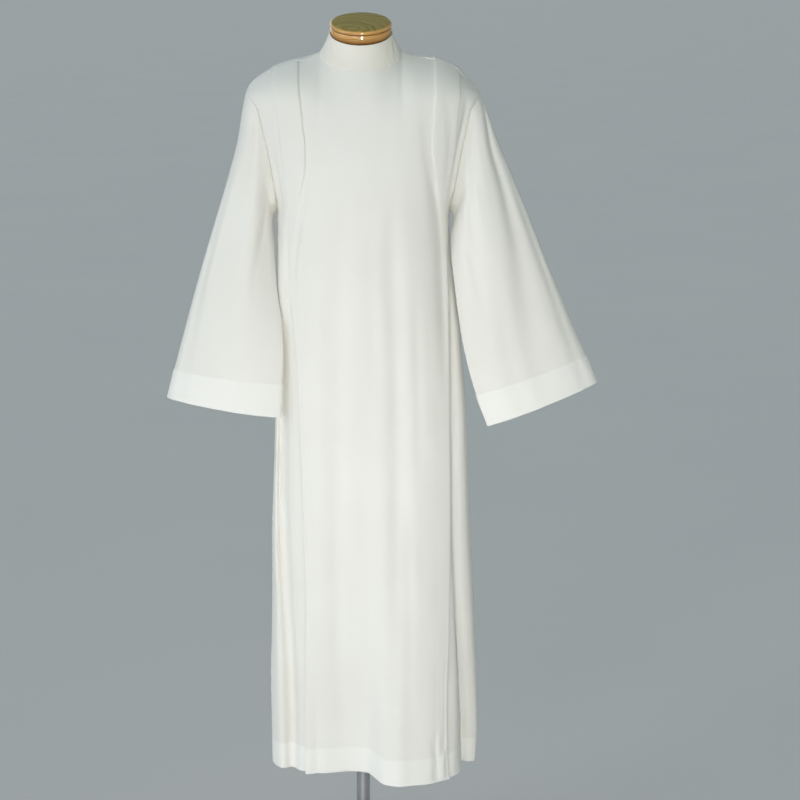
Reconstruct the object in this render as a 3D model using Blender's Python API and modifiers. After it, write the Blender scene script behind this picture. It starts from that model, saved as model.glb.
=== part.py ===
"""An alb robe on a limbless dress form: stand collar, box pleats from the shoulders, open bell sleeves.

All tables are in millimetres.  +Z is up, the front faces -Y, +X is the wearer's left.
"""

import math

import bmesh
import bpy
import numpy as np

MM = 0.001
CREAM = (0.80, 0.785, 0.73)
SHARP_ANGLE = math.radians(45.0)

# Cloth
CLOTH_THICK = 1.2
LAYER_PITCH = 2.3
SEAM_HALF_GAP = 0.45
SHOULDER_HALF_GAP = 0.75
SHOULDER_COVER_ROW = 1655.0
SHOULDER_COVER_RISE = 5.0
SHOULDER_COVER_EDGE = 5.0
FRONT_ROUNDNESS = 2.4
SEAM_TO_CREST_SHARES = (0.35, 0.7)
CREST_RISE_POWER = 1.5
CREST_WEIGHT = 0.6
TUCK_CLEAR = 9.0
CLOSING_CLEAR_RIGHT = 14.0
CLOSING_CLEAR_LEFT = 12.0
FRONT_FAN_START = 1430.0
BACK_FAN_START = 1450.0

# Body heights
HEM_HEIGHT = 217.0
ARMPIT_HEIGHT = 1385.0
YOKE_HEIGHT = 1585.0
TOP_ROW = 1685.0

# How the yoke turns over the shoulder, as (first share, second share, power), and at the neck.
FRONT_TURN = (0.2, 0.8, 2.6)
BACK_TURN = (0.15, 0.85, 1.9)
FRONT_NECK_TURN = (0.75, 0.25)
BACK_NECK_TURN = (0.7, 0.3)
NECK_BLEND = 30.0

# Neckline and collar
NECK_HALF_WIDTH = 80.0
NECK_SIDE = (-14.0, 1702.0)
NECK_FRONT = (-85.0, 1671.0)
NECK_BACK = (62.0, 1722.0)
COLLAR_TOP_RADIUS = 62.4
COLLAR_TOP_DEPTH = 60.0
COLLAR_TOP_MIDDLE = (-12.0, 1741.0)
COLLAR_TOP_TILT = 0.42
COLLAR_THICK = 1.8
COLLAR_LIFT = 1.7
COLLAR_BULGE = 1.6
COLLAR_LAP_ANGLE = math.radians(15.0)
COLLAR_LAP_START = math.radians(140.0)
COLLAR_LAP_RISE = 2.7
COLLAR_COLUMNS = 40
COLLAR_ROWS = 5

# Sleeves and cuffs
SLEEVE_COLUMNS = 30
SLEEVE_GAP = 1.6
SLEEVE_PIT_PUSH = 1.2
SLEEVE_CAP_STATIONS = 3.0
CUFF_GAP = 0.4
CUFF_THICK = 1.2

# Dress form and stand
FORM_NECK_FREE = 90.0
FORM_NECK_INSET = 14.0
FORM_MIDDLE_X = 2.0
FORM_ROUNDNESS = 2.3
FORM_NECK_BLEND = 16.0
FORM_SIDE_POWER = 6
FORM_PIT_ROWS = (-5.0, 60.0)
FORM_NECK_CENTRE_Y = -10.0
CAP_TILT = math.radians(17.8)
CAP_MIDDLE = (-17.0, 1757.0)
CAP_STEPS = 30
POLE_STEPS = 16
BASE_STEPS = 32


def table(names, *rows):
    """A dictionary of columns from named rows."""
    return dict(zip(names, np.array(rows, float).T))


def ease(xs, ys, x):
    """A smooth curve through the points (xs, ys), without overshoot, read at x."""
    step = np.diff(xs)
    rise = np.diff(ys) / step
    slope = np.zeros(len(xs))
    same = rise[:-1] * rise[1:] > 0
    mean = 2 * rise[:-1] * rise[1:] / np.where(same, rise[:-1] + rise[1:], 1.0)
    slope[1:-1] = np.where(same, mean, 0.0)
    slope[0] = rise[0]
    slope[-1] = rise[-1]
    x = np.clip(x, xs[0], xs[-1])
    k = np.clip(np.searchsorted(xs, x) - 1, 0, len(step) - 1)
    t = (x - xs[k]) / step[k]
    a = ys[k] * (1 + 2 * t) * (1 - t) ** 2
    b = ys[k + 1] * t * t * (3 - 2 * t)
    c = slope[k] * step[k] * t * (1 - t) ** 2
    d = slope[k + 1] * step[k] * t * t * (t - 1)
    return a + b + c + d


def read(columns, name, height):
    return ease(columns["height"], columns[name], height)


def blend(low, high, x):
    """0 below low, 1 above high, smooth between."""
    t = np.clip((x - low) / (high - low), 0.0, 1.0)
    return t * t * (3 - 2 * t)


# The smooth body under the folds: its left and right reach and its depth before and behind.
BODY = table(
    ("height", "left", "right", "front", "back"),
    (217, -192, 238, 128, 150),
    (300, -193, 243, 128, 146),
    (400, -194, 240, 128, 141),
    (500, -191, 236, 129, 136),
    (600, -189, 231, 130, 131),
    (720, -188, 225, 130, 126),
    (820, -184, 221, 130, 122),
    (900, -181, 218, 129, 119),
    (1000, -178, 213, 127, 115),
    (1080, -176, 206, 126, 112),
    (1150, -174, 200, 126, 110),
    (1220, -172, 190, 127, 109),
    (1280, -171, 184, 128, 109),
    (1330, -170.5, 179, 129, 110),
    (1385, -170, 178, 129, 111),
    (1430, -180, 193, 128, 112),
    (1475, -192, 206, 126, 112),
    (1515, -203, 217, 121, 110),
    (1550, -213, 226, 115, 106),
    (1585, -223, 234, 109, 100),
    (1620, -231, 241, 109, 100),
    (1650, -236, 246, 109, 100),
    (1685, -240, 250, 109, 100),
)

# Wearer's right side of the front.  seam is the side seam, or the armhole above the armpit.
# crest, valley and strip are the side panel's rise, its crease and the cloth beside the pleat.
# A "back" column is how far that line lies behind the smooth body.
PANEL_NAMES = (
    "height", "seam", "crest", "crest_back", "valley", "valley_back", "strip", "strip_back",
    "edge", "lap", "tuck",
)
FRONT_RIGHT = table(
    PANEL_NAMES,
    (217, -192, -169, 6, -152, 28, -138, 16, -118, 18, -104),
    (300, -193, -170, 4, -152.5, 27, -138, 15, -119, 18, -104),
    (400, -194, -172, 1, -153, 25, -139, 14, -119.5, 18, -104),
    (500, -191, -174, -2, -157, 22, -140, 13, -116.5, 18, -102),
    (600, -189, -176, -5, -163, 19, -143, 12, -115.5, 18, -102),
    (720, -188, -178, -8, -168, 16, -147, 10, -119, 18, -104),
    (820, -184, -177, -8, -170, 14, -149, 9, -121, 18, -106),
    (900, -181, -174, -7, -168.5, 11, -149, 7, -124, 17, -109),
    (1000, -178, -172, -6, -166, 8, -149, 5, -127, 16, -112),
    (1080, -176, -170, -5, -163, 7, -148, 4, -131, 15, -116),
    (1150, -174, -167, -3, -157, 6, -147, 3, -136, 14, -121),
    (1220, -172, -162, 0, -151, 4, -147, 2, -142, 12, -127),
    (1280, -171, -161, 0, -153, 1, -149, 0.5, -143.5, 10, -128),
    (1330, -170.5, -161, 0, -153, 0, -149, 0, -143, 10, -127),
    (1385, -170, -162, 0, -154, 0, -150, 0, -144.5, 10, -125),
    (1430, -175, -167, 0, -159, 0, -154, 0, -149.5, 13, -117),
    (1475, -181, -172, 0, -163, 0, -158, 0, -153.5, 15, -109.5),
    (1515, -189, -178, 0, -168, 0, -163, 0, -158.5, 16, -109),
    (1550, -197, -184, 0, -172, 0, -167, 0, -162, 16, -113),
    (1585, -206, -191, 0, -178, 0, -172, 0, -166, 16, -116.5),
    (1620, -217, -200, 0, -185, 0, -178, 0, -171, 16, -121),
    (1650, -225, -207, 0, -191, 0, -183, 0, -175, 16, -124),
    (1685, -230, -212, 0, -195, 0, -186, 0, -177, 16, -125),
)

# Wearer's left side of the front, in the same columns.
FRONT_LEFT = table(
    PANEL_NAMES,
    (217, 238, 222, 34, 205, 60, 197, 8, 180, 16, 165),
    (300, 243, 224, 28, 203, 52, 195, 9, 175.5, 16, 160),
    (400, 240, 221, 20, 198, 42, 192, 10, 175, 16, 160),
    (500, 236, 217, 12, 193.5, 34, 189, 11, 178, 16, 162),
    (600, 231, 213, 7, 189, 28, 185.7, 11, 179, 16, 163),
    (720, 225, 207, 3, 184.5, 25, 182.5, 12, 179.5, 16, 163),
    (820, 221, 204, 0, 184, 22, 182, 11, 179, 16, 163),
    (900, 218, 201, -2, 183, 20, 181.2, 11, 178, 15, 162),
    (1000, 213, 198, -3, 182, 17, 180.2, 10, 177, 14, 161),
    (1080, 206, 194, -3, 181, 14, 179.2, 8, 176, 13, 160),
    (1150, 200, 190, -2, 180, 10, 178.5, 5, 175.5, 12, 160),
    (1220, 190, 184.5, -1, 178.5, 5, 176.8, 2, 174, 11, 159),
    (1280, 184, 180.5, 0, 176, 1, 174, 0.3, 171.5, 10, 156),
    (1330, 179, 176, 0, 172.5, 0, 170.5, 0, 168, 10, 154),
    (1385, 178, 176.6, 0, 174.6, 0, 173, 0, 171, 10, 152),
    (1430, 188, 185.5, 0, 182.5, 0, 179.6, 0, 176.5, 12, 150),
    (1475, 196, 192, 0, 188, 0, 184.5, 0, 181, 13, 146),
    (1515, 204, 199, 0, 195, 0, 191, 0, 186.5, 14, 140.5),
    (1550, 212, 207, 0, 202, 0, 196.5, 0, 190.5, 15, 142.5),
    (1585, 220, 214, 0, 208, 0, 201.5, 0, 194, 16, 144.5),
    (1620, 229, 221, 0, 213, 0, 205, 0, 197, 16, 147),
    (1650, 235, 226, 0, 217, 0, 207.5, 0, 197.6, 16, 147),
    (1685, 239, 229, 0, 219, 0, 209, 0, 198, 16, 147),
)

# The pleat's inner tuck: how far it laps under, and how far it has opened out.
TUCK = table(
    ("height", "lap", "open"),
    (217, 4, 1),
    (1330, 4, 1),
    (1385, 4, 0.88),
    (1430, 5, 0.45),
    (1475, 11, 0),
    (1685, 12, 0),
)
TUCK_OPEN_SPREAD = (-9.0, -5.5, -2.0, 2.0, 5.5, 9.0)

# The closing at the centre of the back, as a lapped fold.
PLACKET = table(
    ("height", "line", "lap", "open"),
    (217, 26, 4, 1),
    (720, 18, 4, 1),
    (1230, 9, 4, 1),
    (1270, 9, 5, 0.4),
    (1310, 9, 14, 0),
    (1685, 9, 16, 0),
)

# How the hem swings: the front's shape at the hem, and the share of it at each height.
HEM_SWING = table(
    ("x", "back"),
    (-150, 0),
    (-119, 6),
    (-90, 20),
    (-60, 32),
    (-20, 42),
    (8, 41),
    (28, 2),
    (48, -38),
    (74, -50),
    (97, -47),
    (137, -45),
    (160, -38),
    (180, -32),
    (192, -14),
    (208, 0),
)
HEM_SHARE = table(
    ("height", "share"),
    (217, 1.0),
    (272, 0.87),
    (340, 0.7),
    (420, 0.52),
    (510, 0.37),
    (600, 0.26),
    (720, 0.16),
    (850, 0.09),
    (1000, 0.04),
    (1150, 0.0),
    (1685, 0.0),
)

# Soft folds of the front: the line each follows, its half width and its depth.
SOFT_FOLDS = (
    table(
        ("height", "line", "width", "depth"),
        (300, -42, 14, 0),
        (450, -44, 14, 2),
        (700, -47, 13, 4),
        (1000, -48, 13, 4.5),
        (1200, -50, 13, 3),
        (1300, -50, 13, 0),
    ),
    table(
        ("height", "line", "width", "depth"),
        (720, 74, 12, 0),
        (850, 74, 12, 3),
        (1050, 72, 12, 4),
        (1250, 70, 12, 3),
        (1360, 68, 12, 0),
    ),
    table(
        ("height", "line", "width", "depth"),
        (400, 158, 10, 0),
        (700, 156, 10, 4),
        (1030, 154, 10, 6),
        (1176, 152, 10, 7),
        (1300, 146, 10, 8),
        (1400, 136, 10, 7),
        (1465, 124, 9, 5),
        (1530, 118, 9, 2.5),
        (1600, 116, 9, 0),
    ),
)

# Folds of the back at the hem: line, half width and how far out; their line higher up; and their share.
BACK_FOLDS = table(
    ("hem_line", "top_line", "width", "out"),
    (-138, -104, 24, -15),
    (-88, -70, 22, 13),
    (-38, -34, 22, -16),
    (18, 6, 24, 14),
    (80, 44, 22, -18),
    (132, 78, 22, 13),
    (184, 112, 20, -11),
)
BACK_SHARE = table(
    ("height", "share"),
    (217, 1.0),
    (400, 0.78),
    (600, 0.55),
    (800, 0.36),
    (1000, 0.2),
    (1200, 0.08),
    (1350, 0.0),
    (1685, 0.0),
)

# The shoulder's ridge seen from the front.
RIDGE = table(
    ("x", "height"),
    (-245, 1606),
    (-230, 1626),
    (-215, 1644),
    (-200, 1656),
    (-180, 1667),
    (-165, 1674),
    (-148, 1680),
    (-125, 1686),
    (-104, 1692.5),
    (-80, 1702),
    (80, 1702),
    (104, 1696),
    (130, 1693),
    (147, 1690),
    (162, 1685.5),
    (178, 1678),
    (190, 1670.5),
    (200, 1662),
    (216, 1646),
    (228, 1635),
    (239, 1622),
    (252, 1602),
)
RIDGE_DROP = 4.0
RIDGE_SHARE = 0.9
# How far in front of the form's middle the shoulder seam runs.
SEAM_PLACE = table(
    ("x", "y"),
    (-245, -8),
    (-230, -9),
    (-190, -16),
    (-120, -18),
    (-80, -14),
    (80, -14),
    (120, -18),
    (190, -16),
    (239, -9),
    (252, -8),
)

# The sleeves: the outer and the inner line of each, and half the sleeve's depth between them.
SLEEVE_NAMES = ("height", "out_x", "out_y", "out_z", "in_x", "in_y", "in_z", "depth")
SLEEVE_RIGHT = table(
    SLEEVE_NAMES,
    (0, -230, -9, 1622, -170, 0, 1386, 56),
    (1, -238, -9, 1585, -178, -4, 1366, 60),
    (2, -248, -10, 1525, -177.5, -14, 1342, 58),
    (3, -264, -12, 1465, -176.5, -26, 1314, 53),
    (4, -283, -14, 1400, -175, -38, 1282, 48),
    (5, -304, -16, 1332, -172.5, -51.5, 1246, 44),
    (6, -325, -18, 1262, -167, -66, 1206, 41),
    (7, -345, -20, 1192, -159, -80, 1160, 39),
    (8, -363, -22, 1128, -157, -85, 1106, 38),
    (9, -381, -24, 1064, -160, -88, 1042, 37),
    (10, -397, -26, 1003, -165, -90, 972, 36),
)
SLEEVE_LEFT = table(
    SLEEVE_NAMES,
    (0, 239, -9, 1618, 178, 0, 1386, 56),
    (1, 254, -9, 1580, 186, -11, 1366, 60),
    (2, 274, -10, 1525, 181.5, -37, 1338, 58),
    (3, 299, -12, 1465, 181.5, -53, 1303, 53),
    (4, 324, -14, 1404, 184.5, -62, 1267, 49),
    (5, 350, -16, 1340, 189, -68, 1230, 45),
    (6, 377, -18, 1275, 194, -72, 1189, 42),
    (7, 405, -20, 1209, 201, -74, 1142, 40),
    (8, 431, -22, 1146, 213, -75, 1085, 39),
    (9, 456, -24, 1092, 232, -76, 1018, 37),
    (10, 480, -26, 1035, 257, -76, 952, 36),
)
SLEEVE_STATIONS = (0, 0.4, 1, 1.7, 2.5, 3.4, 4.3, 5.2, 6.1, 7, 8, 9, 9.5, 10)
CUFF_STATIONS = (9, 9.5, 10)
# Folds along the sleeves: where each lies round the sleeve, in degrees from its outer line.
SLEEVE_FOLD_NAMES = ("height", "turn", "width", "depth")
SLEEVE_RIGHT_FOLDS = (
    table(
        SLEEVE_FOLD_NAMES,
        (0, 118, 16, 0), (1, 122, 16, 6), (3, 128, 16, 8),
        (5, 132, 15, 4), (8, 136, 15, 0),
    ),
    table(
        SLEEVE_FOLD_NAMES,
        (1, 60, 20, 0), (3, 66, 20, 4),
        (6, 74, 18, 4), (9, 80, 18, 0),
    ),
    table(
        SLEEVE_FOLD_NAMES,
        (0, 232, 18, 0), (2, 236, 18, 6),
        (6, 246, 18, 6), (10, 256, 18, 3),
    ),
    table(
        SLEEVE_FOLD_NAMES,
        (0, 292, 18, 0), (3, 288, 18, 5),
        (7, 284, 18, 5), (10, 282, 18, 2),
    ),
)
SLEEVE_LEFT_FOLDS = (
    table(
        SLEEVE_FOLD_NAMES,
        (0, 46, 16, 0), (1, 50, 16, 6), (4, 66, 16, 9),
        (7, 80, 16, 8), (10, 92, 16, 2),
    ),
    table(
        SLEEVE_FOLD_NAMES,
        (0, 104, 16, 0), (1, 108, 16, 5), (4, 116, 15, 6),
        (7, 124, 15, 2), (9, 128, 15, 0),
    ),
    table(
        SLEEVE_FOLD_NAMES,
        (0, 236, 18, 0), (2, 240, 18, 6),
        (6, 248, 18, 6), (10, 258, 18, 3),
    ),
    table(
        SLEEVE_FOLD_NAMES,
        (0, 296, 18, 0), (3, 292, 18, 5),
        (7, 286, 18, 5), (10, 284, 18, 2),
    ),
)

FRONT_ROWS = (
    217, 272, 335, 400, 480, 560, 640, 720, 800, 880, 960, 1040, 1110, 1170, 1225, 1280,
    1330, 1385, 1406, 1430, 1475, 1515, 1550, 1585, 1599, 1614, 1638, 1660, 1675, 1685,
)
BACK_ROWS = (
    217, 272, 340, 420, 510, 600, 690, 780, 870, 960, 1050, 1130, 1210, 1250, 1290, 1330,
    1385, 1406, 1430, 1475, 1515, 1550, 1585, 1599, 1614, 1638, 1658, 1670, 1679, 1685,
)
CHEST_TOP_X = (-103, -80, -75, -61, -41, -14, 14, 41, 61, 75, 80, 112)
BACK_RIGHT_TOP_X = (-230, -208, -183, -177, -151, -125, -119, -98, -80, -75, -61, -41, -16)
BACK_LEFT_TOP_X = (26, 44, 61, 75, 80, 104, 140, 147, 172, 198, 205, 221, 239)
DENSE = 401


def seam_line(x, side):
    """The shoulder seam and the neckline, as y and z at x, of the front (-1) or the back (+1)."""
    y = np.interp(x, SEAM_PLACE["x"], SEAM_PLACE["y"])
    z = ease(RIDGE["x"], RIDGE["height"], x) - RIDGE_DROP
    share = np.sqrt(np.clip(1 - (x / NECK_HALF_WIDTH) ** 2, 0, 1))
    middle = NECK_FRONT if side < 0 else NECK_BACK
    neck_y = NECK_SIDE[0] + (middle[0] - NECK_SIDE[0]) * share
    neck_z = NECK_SIDE[1] - RIDGE_DROP + (middle[1] - NECK_SIDE[1] + RIDGE_DROP) * share
    inside = np.abs(x) < NECK_HALF_WIDTH
    shoulder_gap = SHOULDER_HALF_GAP * side
    return np.where(inside, neck_y, y + shoulder_gap), np.where(inside, neck_z, z + shoulder_gap)


def body_depth(x, row, side):
    """How far the smooth body and its soft folds lie from its middle plane."""
    left = read(BODY, "left", row)
    right = read(BODY, "right", row)
    reach = np.clip(np.abs(2 * x - left - right) / (right - left), 0, 1)
    shape = (1 - reach**FRONT_ROUNDNESS) ** (1 / FRONT_ROUNDNESS)
    if side > 0:
        y = read(BODY, "back", row) * shape
        share = read(BACK_SHARE, "share", row)
        rise = (row - HEM_HEIGHT) / (TOP_ROW - HEM_HEIGHT)
        for k in range(len(BACK_FOLDS["width"])):
            low = BACK_FOLDS["hem_line"][k]
            line = low + (BACK_FOLDS["top_line"][k] - low) * rise
            away = (x - line) / BACK_FOLDS["width"][k]
            y = y + BACK_FOLDS["out"][k] * share * np.exp(-away * away)
        return y
    y = -read(BODY, "front", row) * shape
    y = y + read(HEM_SHARE, "share", row) * ease(HEM_SWING["x"], HEM_SWING["back"], x)
    for fold in SOFT_FOLDS:
        away = (x - read(fold, "line", row)) / read(fold, "width", row)
        y = y + read(fold, "depth", row) * np.exp(-away * away)
    return y


def body_points(x, row, side):
    """Points of the front (-1) or the back (+1) at the places x along a row."""
    y = body_depth(x, row, side)
    if row <= YOKE_HEIGHT:
        return np.stack([x, y, np.full_like(x, row)], 1)
    w = (row - YOKE_HEIGHT) / (TOP_ROW - YOKE_HEIGHT)
    seam_y, seam_z = seam_line(x, side)
    over = blend(NECK_HALF_WIDTH - NECK_BLEND, NECK_HALF_WIDTH + NECK_BLEND, np.abs(x))
    first, second, power = FRONT_TURN if side < 0 else BACK_TURN
    neck_first, neck_second = FRONT_NECK_TURN if side < 0 else BACK_NECK_TURN
    turn = over * (first * w + second * w**power)
    turn = turn + (1 - over) * (neck_first * w + neck_second * w * w)
    if side < 0:
        lift = np.full_like(x, w)
    else:
        peak = 1 + RIDGE_DROP / (seam_z - YOKE_HEIGHT)
        if w < RIDGE_SHARE:
            crown = peak * (1 - ((RIDGE_SHARE - w) / RIDGE_SHARE) ** 2)
        else:
            crown = peak - (peak - 1) * ((w - RIDGE_SHARE) / (1 - RIDGE_SHARE)) ** 2
        lift = over * crown + (1 - over) * w
    y = y + (seam_y - y) * turn
    z = YOKE_HEIGHT + (seam_z - YOKE_HEIGHT) * lift
    return np.stack([x, y, z], 1)


class Row:
    """One row of cloth: places along it, its run and its outward direction."""

    def __init__(self, row, side, low, high):
        turn = np.linspace(0, math.pi, DENSE)
        x = (low + high) / 2 - (high - low) / 2 * np.cos(turn)
        self.x = x
        self.points = body_points(x, row, side)
        gap = np.diff(self.points, axis=0)
        self.run = np.concatenate([[0], np.cumsum(np.linalg.norm(gap, axis=1))])
        along = np.gradient(self.points, axis=0)
        if row < YOKE_HEIGHT:
            up = np.tile([0.0, 0.0, 1.0], (DENSE, 1))
        else:
            up = body_points(x, min(row + 1, TOP_ROW), side) - body_points(x, row - 1, side)
        out = np.cross(along, up) * (1 if side < 0 else -1)
        self.out = out / np.linalg.norm(out, axis=1)[:, None]

    def run_at(self, x):
        return np.interp(x, self.x, self.run)

    def at(self, run, out=0.0, back=0.0):
        """The point at a run along the row, moved outward, and moved straight back."""
        place = np.array([np.interp(run, self.run, self.points[:, k]) for k in range(3)])
        away = np.array([np.interp(run, self.run, self.out[:, k]) for k in range(3)])
        return place + away * out + np.array([0.0, back, 0.0])


def lapped(row, edge, lap, opened, top, bottom, sense):
    """Six points of a lapped fold at a run, from its top layer to the layer under it.

    sense is +1 where the lap's edge faces the row's end and -1 where it faces the row's start.
    """
    turn = LAYER_PITCH / 2
    shut = (-turn, 0.0, -turn, turn - lap, -lap, turn - lap)
    share = (0.0, 0.25, 0.5, 0.5, 0.75, 1.0)
    places = []
    for k in range(6):
        along = shut[k] * (1 - opened) + TUCK_OPEN_SPREAD[k] * opened
        places.append(row.at(edge + sense * along, top + (bottom - top) * share[k]))
    return places


def side_columns(row, sizes, height, sense):
    """Columns from the seam to the cloth just outside the box pleat's outer edge."""
    start = row.run_at(read(sizes, "seam", height)) + sense * SEAM_HALF_GAP
    marks = []
    for name in ("crest", "valley", "strip"):
        marks.append((row.run_at(read(sizes, name, height)), read(sizes, name + "_back", height)))
    columns = [row.at(start)]
    first, first_back = marks[0]
    for share in SEAM_TO_CREST_SHARES:
        back = first_back * share**CREST_RISE_POWER
        columns.append(row.at(start + (first - start) * share, 0.0, back))
    columns.append(row.at(first, 0.0, first_back))
    middle = (marks[0][0] + marks[1][0]) / 2
    back = marks[0][1] * CREST_WEIGHT + marks[1][1] * (1 - CREST_WEIGHT)
    columns.append(row.at(middle, 0.0, back))
    columns.append(row.at(marks[1][0], 0.0, marks[1][1]))
    columns.append(row.at(marks[2][0], 0.0, marks[2][1]))
    return columns


def front_row(height):
    """The columns of one row of the front, from the wearer's right seam to the left."""
    right = FRONT_RIGHT
    left = FRONT_LEFT
    row = Row(height, -1, read(right, "seam", height), read(left, "seam", height))
    lap = read(TUCK, "lap", height)
    opened = read(TUCK, "open", height)
    proud = 2 * LAYER_PITCH
    chest = proud * opened
    columns = side_columns(row, right, height, 1)
    edge = row.run_at(read(right, "edge", height))
    columns += lapped(row, edge, read(right, "lap", height), 0.0, proud, 0.0, -1)[::-1]
    tuck = row.run_at(read(right, "tuck", height))
    columns.append(row.at((edge + tuck) / 2, proud))
    columns += lapped(row, tuck, lap, opened, proud, chest, 1)
    far = row.run_at(read(left, "tuck", height))
    share = blend(FRONT_FAN_START, TOP_ROW, height)
    count = len(CHEST_TOP_X)
    for k in range(count):
        even = tuck + TUCK_CLEAR + (far - tuck - 2 * TUCK_CLEAR) * k / (count - 1)
        top = row.run_at(CHEST_TOP_X[k])
        columns.append(row.at(even + (top - even) * share, chest))
    columns += lapped(row, far, lap, opened, proud, chest, -1)[::-1]
    edge = row.run_at(read(left, "edge", height))
    columns.append(row.at((edge + far) / 2, proud))
    columns += lapped(row, edge, read(left, "lap", height), 0.0, proud, 0.0, 1)
    columns += side_columns(row, left, height, -1)[::-1]
    return columns


def shoulder_cover(x, height):
    """How far the back rises over the ends of the box pleats, where the shoulder seam holds them."""
    rise = 0.0
    for sizes in (FRONT_RIGHT, FRONT_LEFT):
        ends = sorted((read(sizes, "edge", height), read(sizes, "tuck", height)))
        inside = min(x - ends[0], ends[1] - x)
        rise = max(rise, float(blend(-SHOULDER_COVER_EDGE, 0.0, inside)))
    return SHOULDER_COVER_RISE * rise * float(blend(SHOULDER_COVER_ROW, TOP_ROW, height))


def back_row(height):
    """The columns of one row of the back, from the wearer's right seam to the left."""
    row = Row(height, 1, read(FRONT_RIGHT, "seam", height), read(FRONT_LEFT, "seam", height))
    start = SEAM_HALF_GAP
    end = row.run[-1] - SEAM_HALF_GAP
    line = row.run_at(read(PLACKET, "line", height))
    share = blend(BACK_FAN_START, TOP_ROW, height)
    proud = 2 * LAYER_PITCH * (1 - read(PLACKET, "open", height))
    columns = []
    count = len(BACK_RIGHT_TOP_X)
    for k in range(count):
        even = start + (line - CLOSING_CLEAR_RIGHT - start) * k / (count - 1)
        top = max(start, row.run_at(BACK_RIGHT_TOP_X[k]))
        cover = shoulder_cover(BACK_RIGHT_TOP_X[k], height)
        columns.append(row.at(even + (top - even) * share, cover))
    lap = read(PLACKET, "lap", height)
    opened = read(PLACKET, "open", height)
    columns += lapped(row, line, lap, opened, proud, 0.0, -1)[::-1]
    count = len(BACK_LEFT_TOP_X)
    for k in range(count):
        even = line + CLOSING_CLEAR_LEFT + (end - line - CLOSING_CLEAR_LEFT) * k / (count - 1)
        top = min(end, row.run_at(BACK_LEFT_TOP_X[k]))
        cover = shoulder_cover(BACK_LEFT_TOP_X[k], height)
        columns.append(row.at(even + (top - even) * share, cover))
    return columns


def armhole(side_sizes, face, drop):
    """A point of the armhole's edge, drop going from 0 at the shoulder tip to 1 at the armpit."""
    heights = np.linspace(TOP_ROW, ARMPIT_HEIGHT, 61)
    points = []
    for height in heights:
        x = np.array([read(side_sizes, "seam", height)])
        points.append(body_points(x, height, face)[0])
    points = np.array(points)
    run = np.concatenate([[0], np.cumsum(np.linalg.norm(np.diff(points, axis=0), axis=1))])
    return np.array([np.interp(drop * run[-1], run, points[:, k]) for k in range(3)])


def sleeve_ring(lines, folds, mouth, station, columns, out=0.0):
    """A ring of the sleeve at a station, from its outer line round by the front."""
    turn = np.arange(columns) * 2 * math.pi / columns
    outer = np.array([read(lines, "out_" + k, station) for k in "xyz"])
    inner = np.array([read(lines, "in_" + k, station) for k in "xyz"])
    depth = read(lines, "depth", station)
    middle = (outer + inner) / 2
    axis = (outer - inner) / 2
    half = np.linalg.norm(axis)
    face = np.array([0.0, -1.0, 0.0])
    face = face - axis * (face @ axis) / half**2
    face = face / np.linalg.norm(face)
    rise = axis / half
    away = np.cos(turn)[:, None] * rise * depth / half + np.sin(turn)[:, None] * face
    away = away / np.linalg.norm(away, axis=1)[:, None]
    inset = np.zeros(columns)
    for fold in folds:
        gap = (turn - math.radians(read(fold, "turn", station)) + math.pi) % (2 * math.pi) - math.pi
        width = math.radians(read(fold, "width", station))
        if fold["height"][0] <= station <= fold["height"][-1]:
            inset += read(fold, "depth", station) * np.exp(-((gap / width) ** 2))
    ring = middle + np.cos(turn)[:, None] * axis + np.sin(turn)[:, None] * face * depth
    ring = ring + away * (out - inset)[:, None]
    fade = max(0.0, 1 - station / SLEEVE_CAP_STATIONS) ** 2
    return ring + mouth * fade


def sleeve_mouth(lines, sizes, columns):
    """How far the armhole's edge lies from the sleeve's first ring."""
    turn = np.arange(columns) * 2 * math.pi / columns
    flat = sleeve_ring(lines, (), np.zeros((columns, 3)), 0.0, columns)
    second = sleeve_ring(lines, (), np.zeros((columns, 3)), 1.0, columns)
    edge = np.array([armhole(sizes, -1 if math.sin(t) >= 0 else 1, (1 - math.cos(t)) / 2) for t in turn])
    away = second - edge
    away = away / np.linalg.norm(away, axis=1)[:, None]
    drop = (1 - np.cos(turn)) / 2
    away[:, 0] = away[:, 0] + np.sign(edge[:, 0]) * SLEEVE_PIT_PUSH * drop**3
    return edge + away * SLEEVE_GAP - flat


def new_object(name, points, faces, collection, material):
    """A mesh object from points in millimetres."""
    mesh = bpy.data.meshes.new(name)
    mesh.from_pydata([tuple(float(v) * MM for v in p) for p in points], [], faces)
    work = bmesh.new()
    work.from_mesh(mesh)
    bmesh.ops.recalc_face_normals(work, faces=work.faces)
    work.to_mesh(mesh)
    work.free()
    mesh.shade_smooth()
    mesh.set_sharp_from_angle(angle=SHARP_ANGLE)
    thing = bpy.data.objects.new(name, mesh)
    collection.objects.link(thing)
    mesh.materials.append(material)
    return thing


def new_sheet(name, rows, thick, collection, material, closed=False):
    """A cloth wall through rows of points, half its thickness on each side."""
    count = len(rows[0])
    points = [p for row in rows for p in row]
    faces = []
    for r in range(len(rows) - 1):
        for c in range(count if closed else count - 1):
            d = (c + 1) % count
            faces.append((r * count + c, r * count + d, (r + 1) * count + d, (r + 1) * count + c))
    thing = new_object(name, points, faces, collection, material)
    wall = thing.modifiers.new("wall", "SOLIDIFY")
    wall.thickness = thick * MM
    wall.offset = 0.0
    wall.use_rim = True
    return thing


def new_material(name, colour, roughness, sheen=0.0, coat=0.0):
    material = bpy.data.materials.new(name)
    material.use_nodes = True
    shader = material.node_tree.nodes["Principled BSDF"]
    shader.inputs["Base Color"].default_value = (*colour, 1.0)
    shader.inputs["Roughness"].default_value = roughness
    shader.inputs["Sheen Weight"].default_value = sheen
    shader.inputs["Coat Weight"].default_value = coat
    material.diffuse_color = (*colour, 1.0)
    return material


def new_cloth(name):
    return new_material(name + "_cloth", CREAM, 0.85, sheen=0.3)


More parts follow.
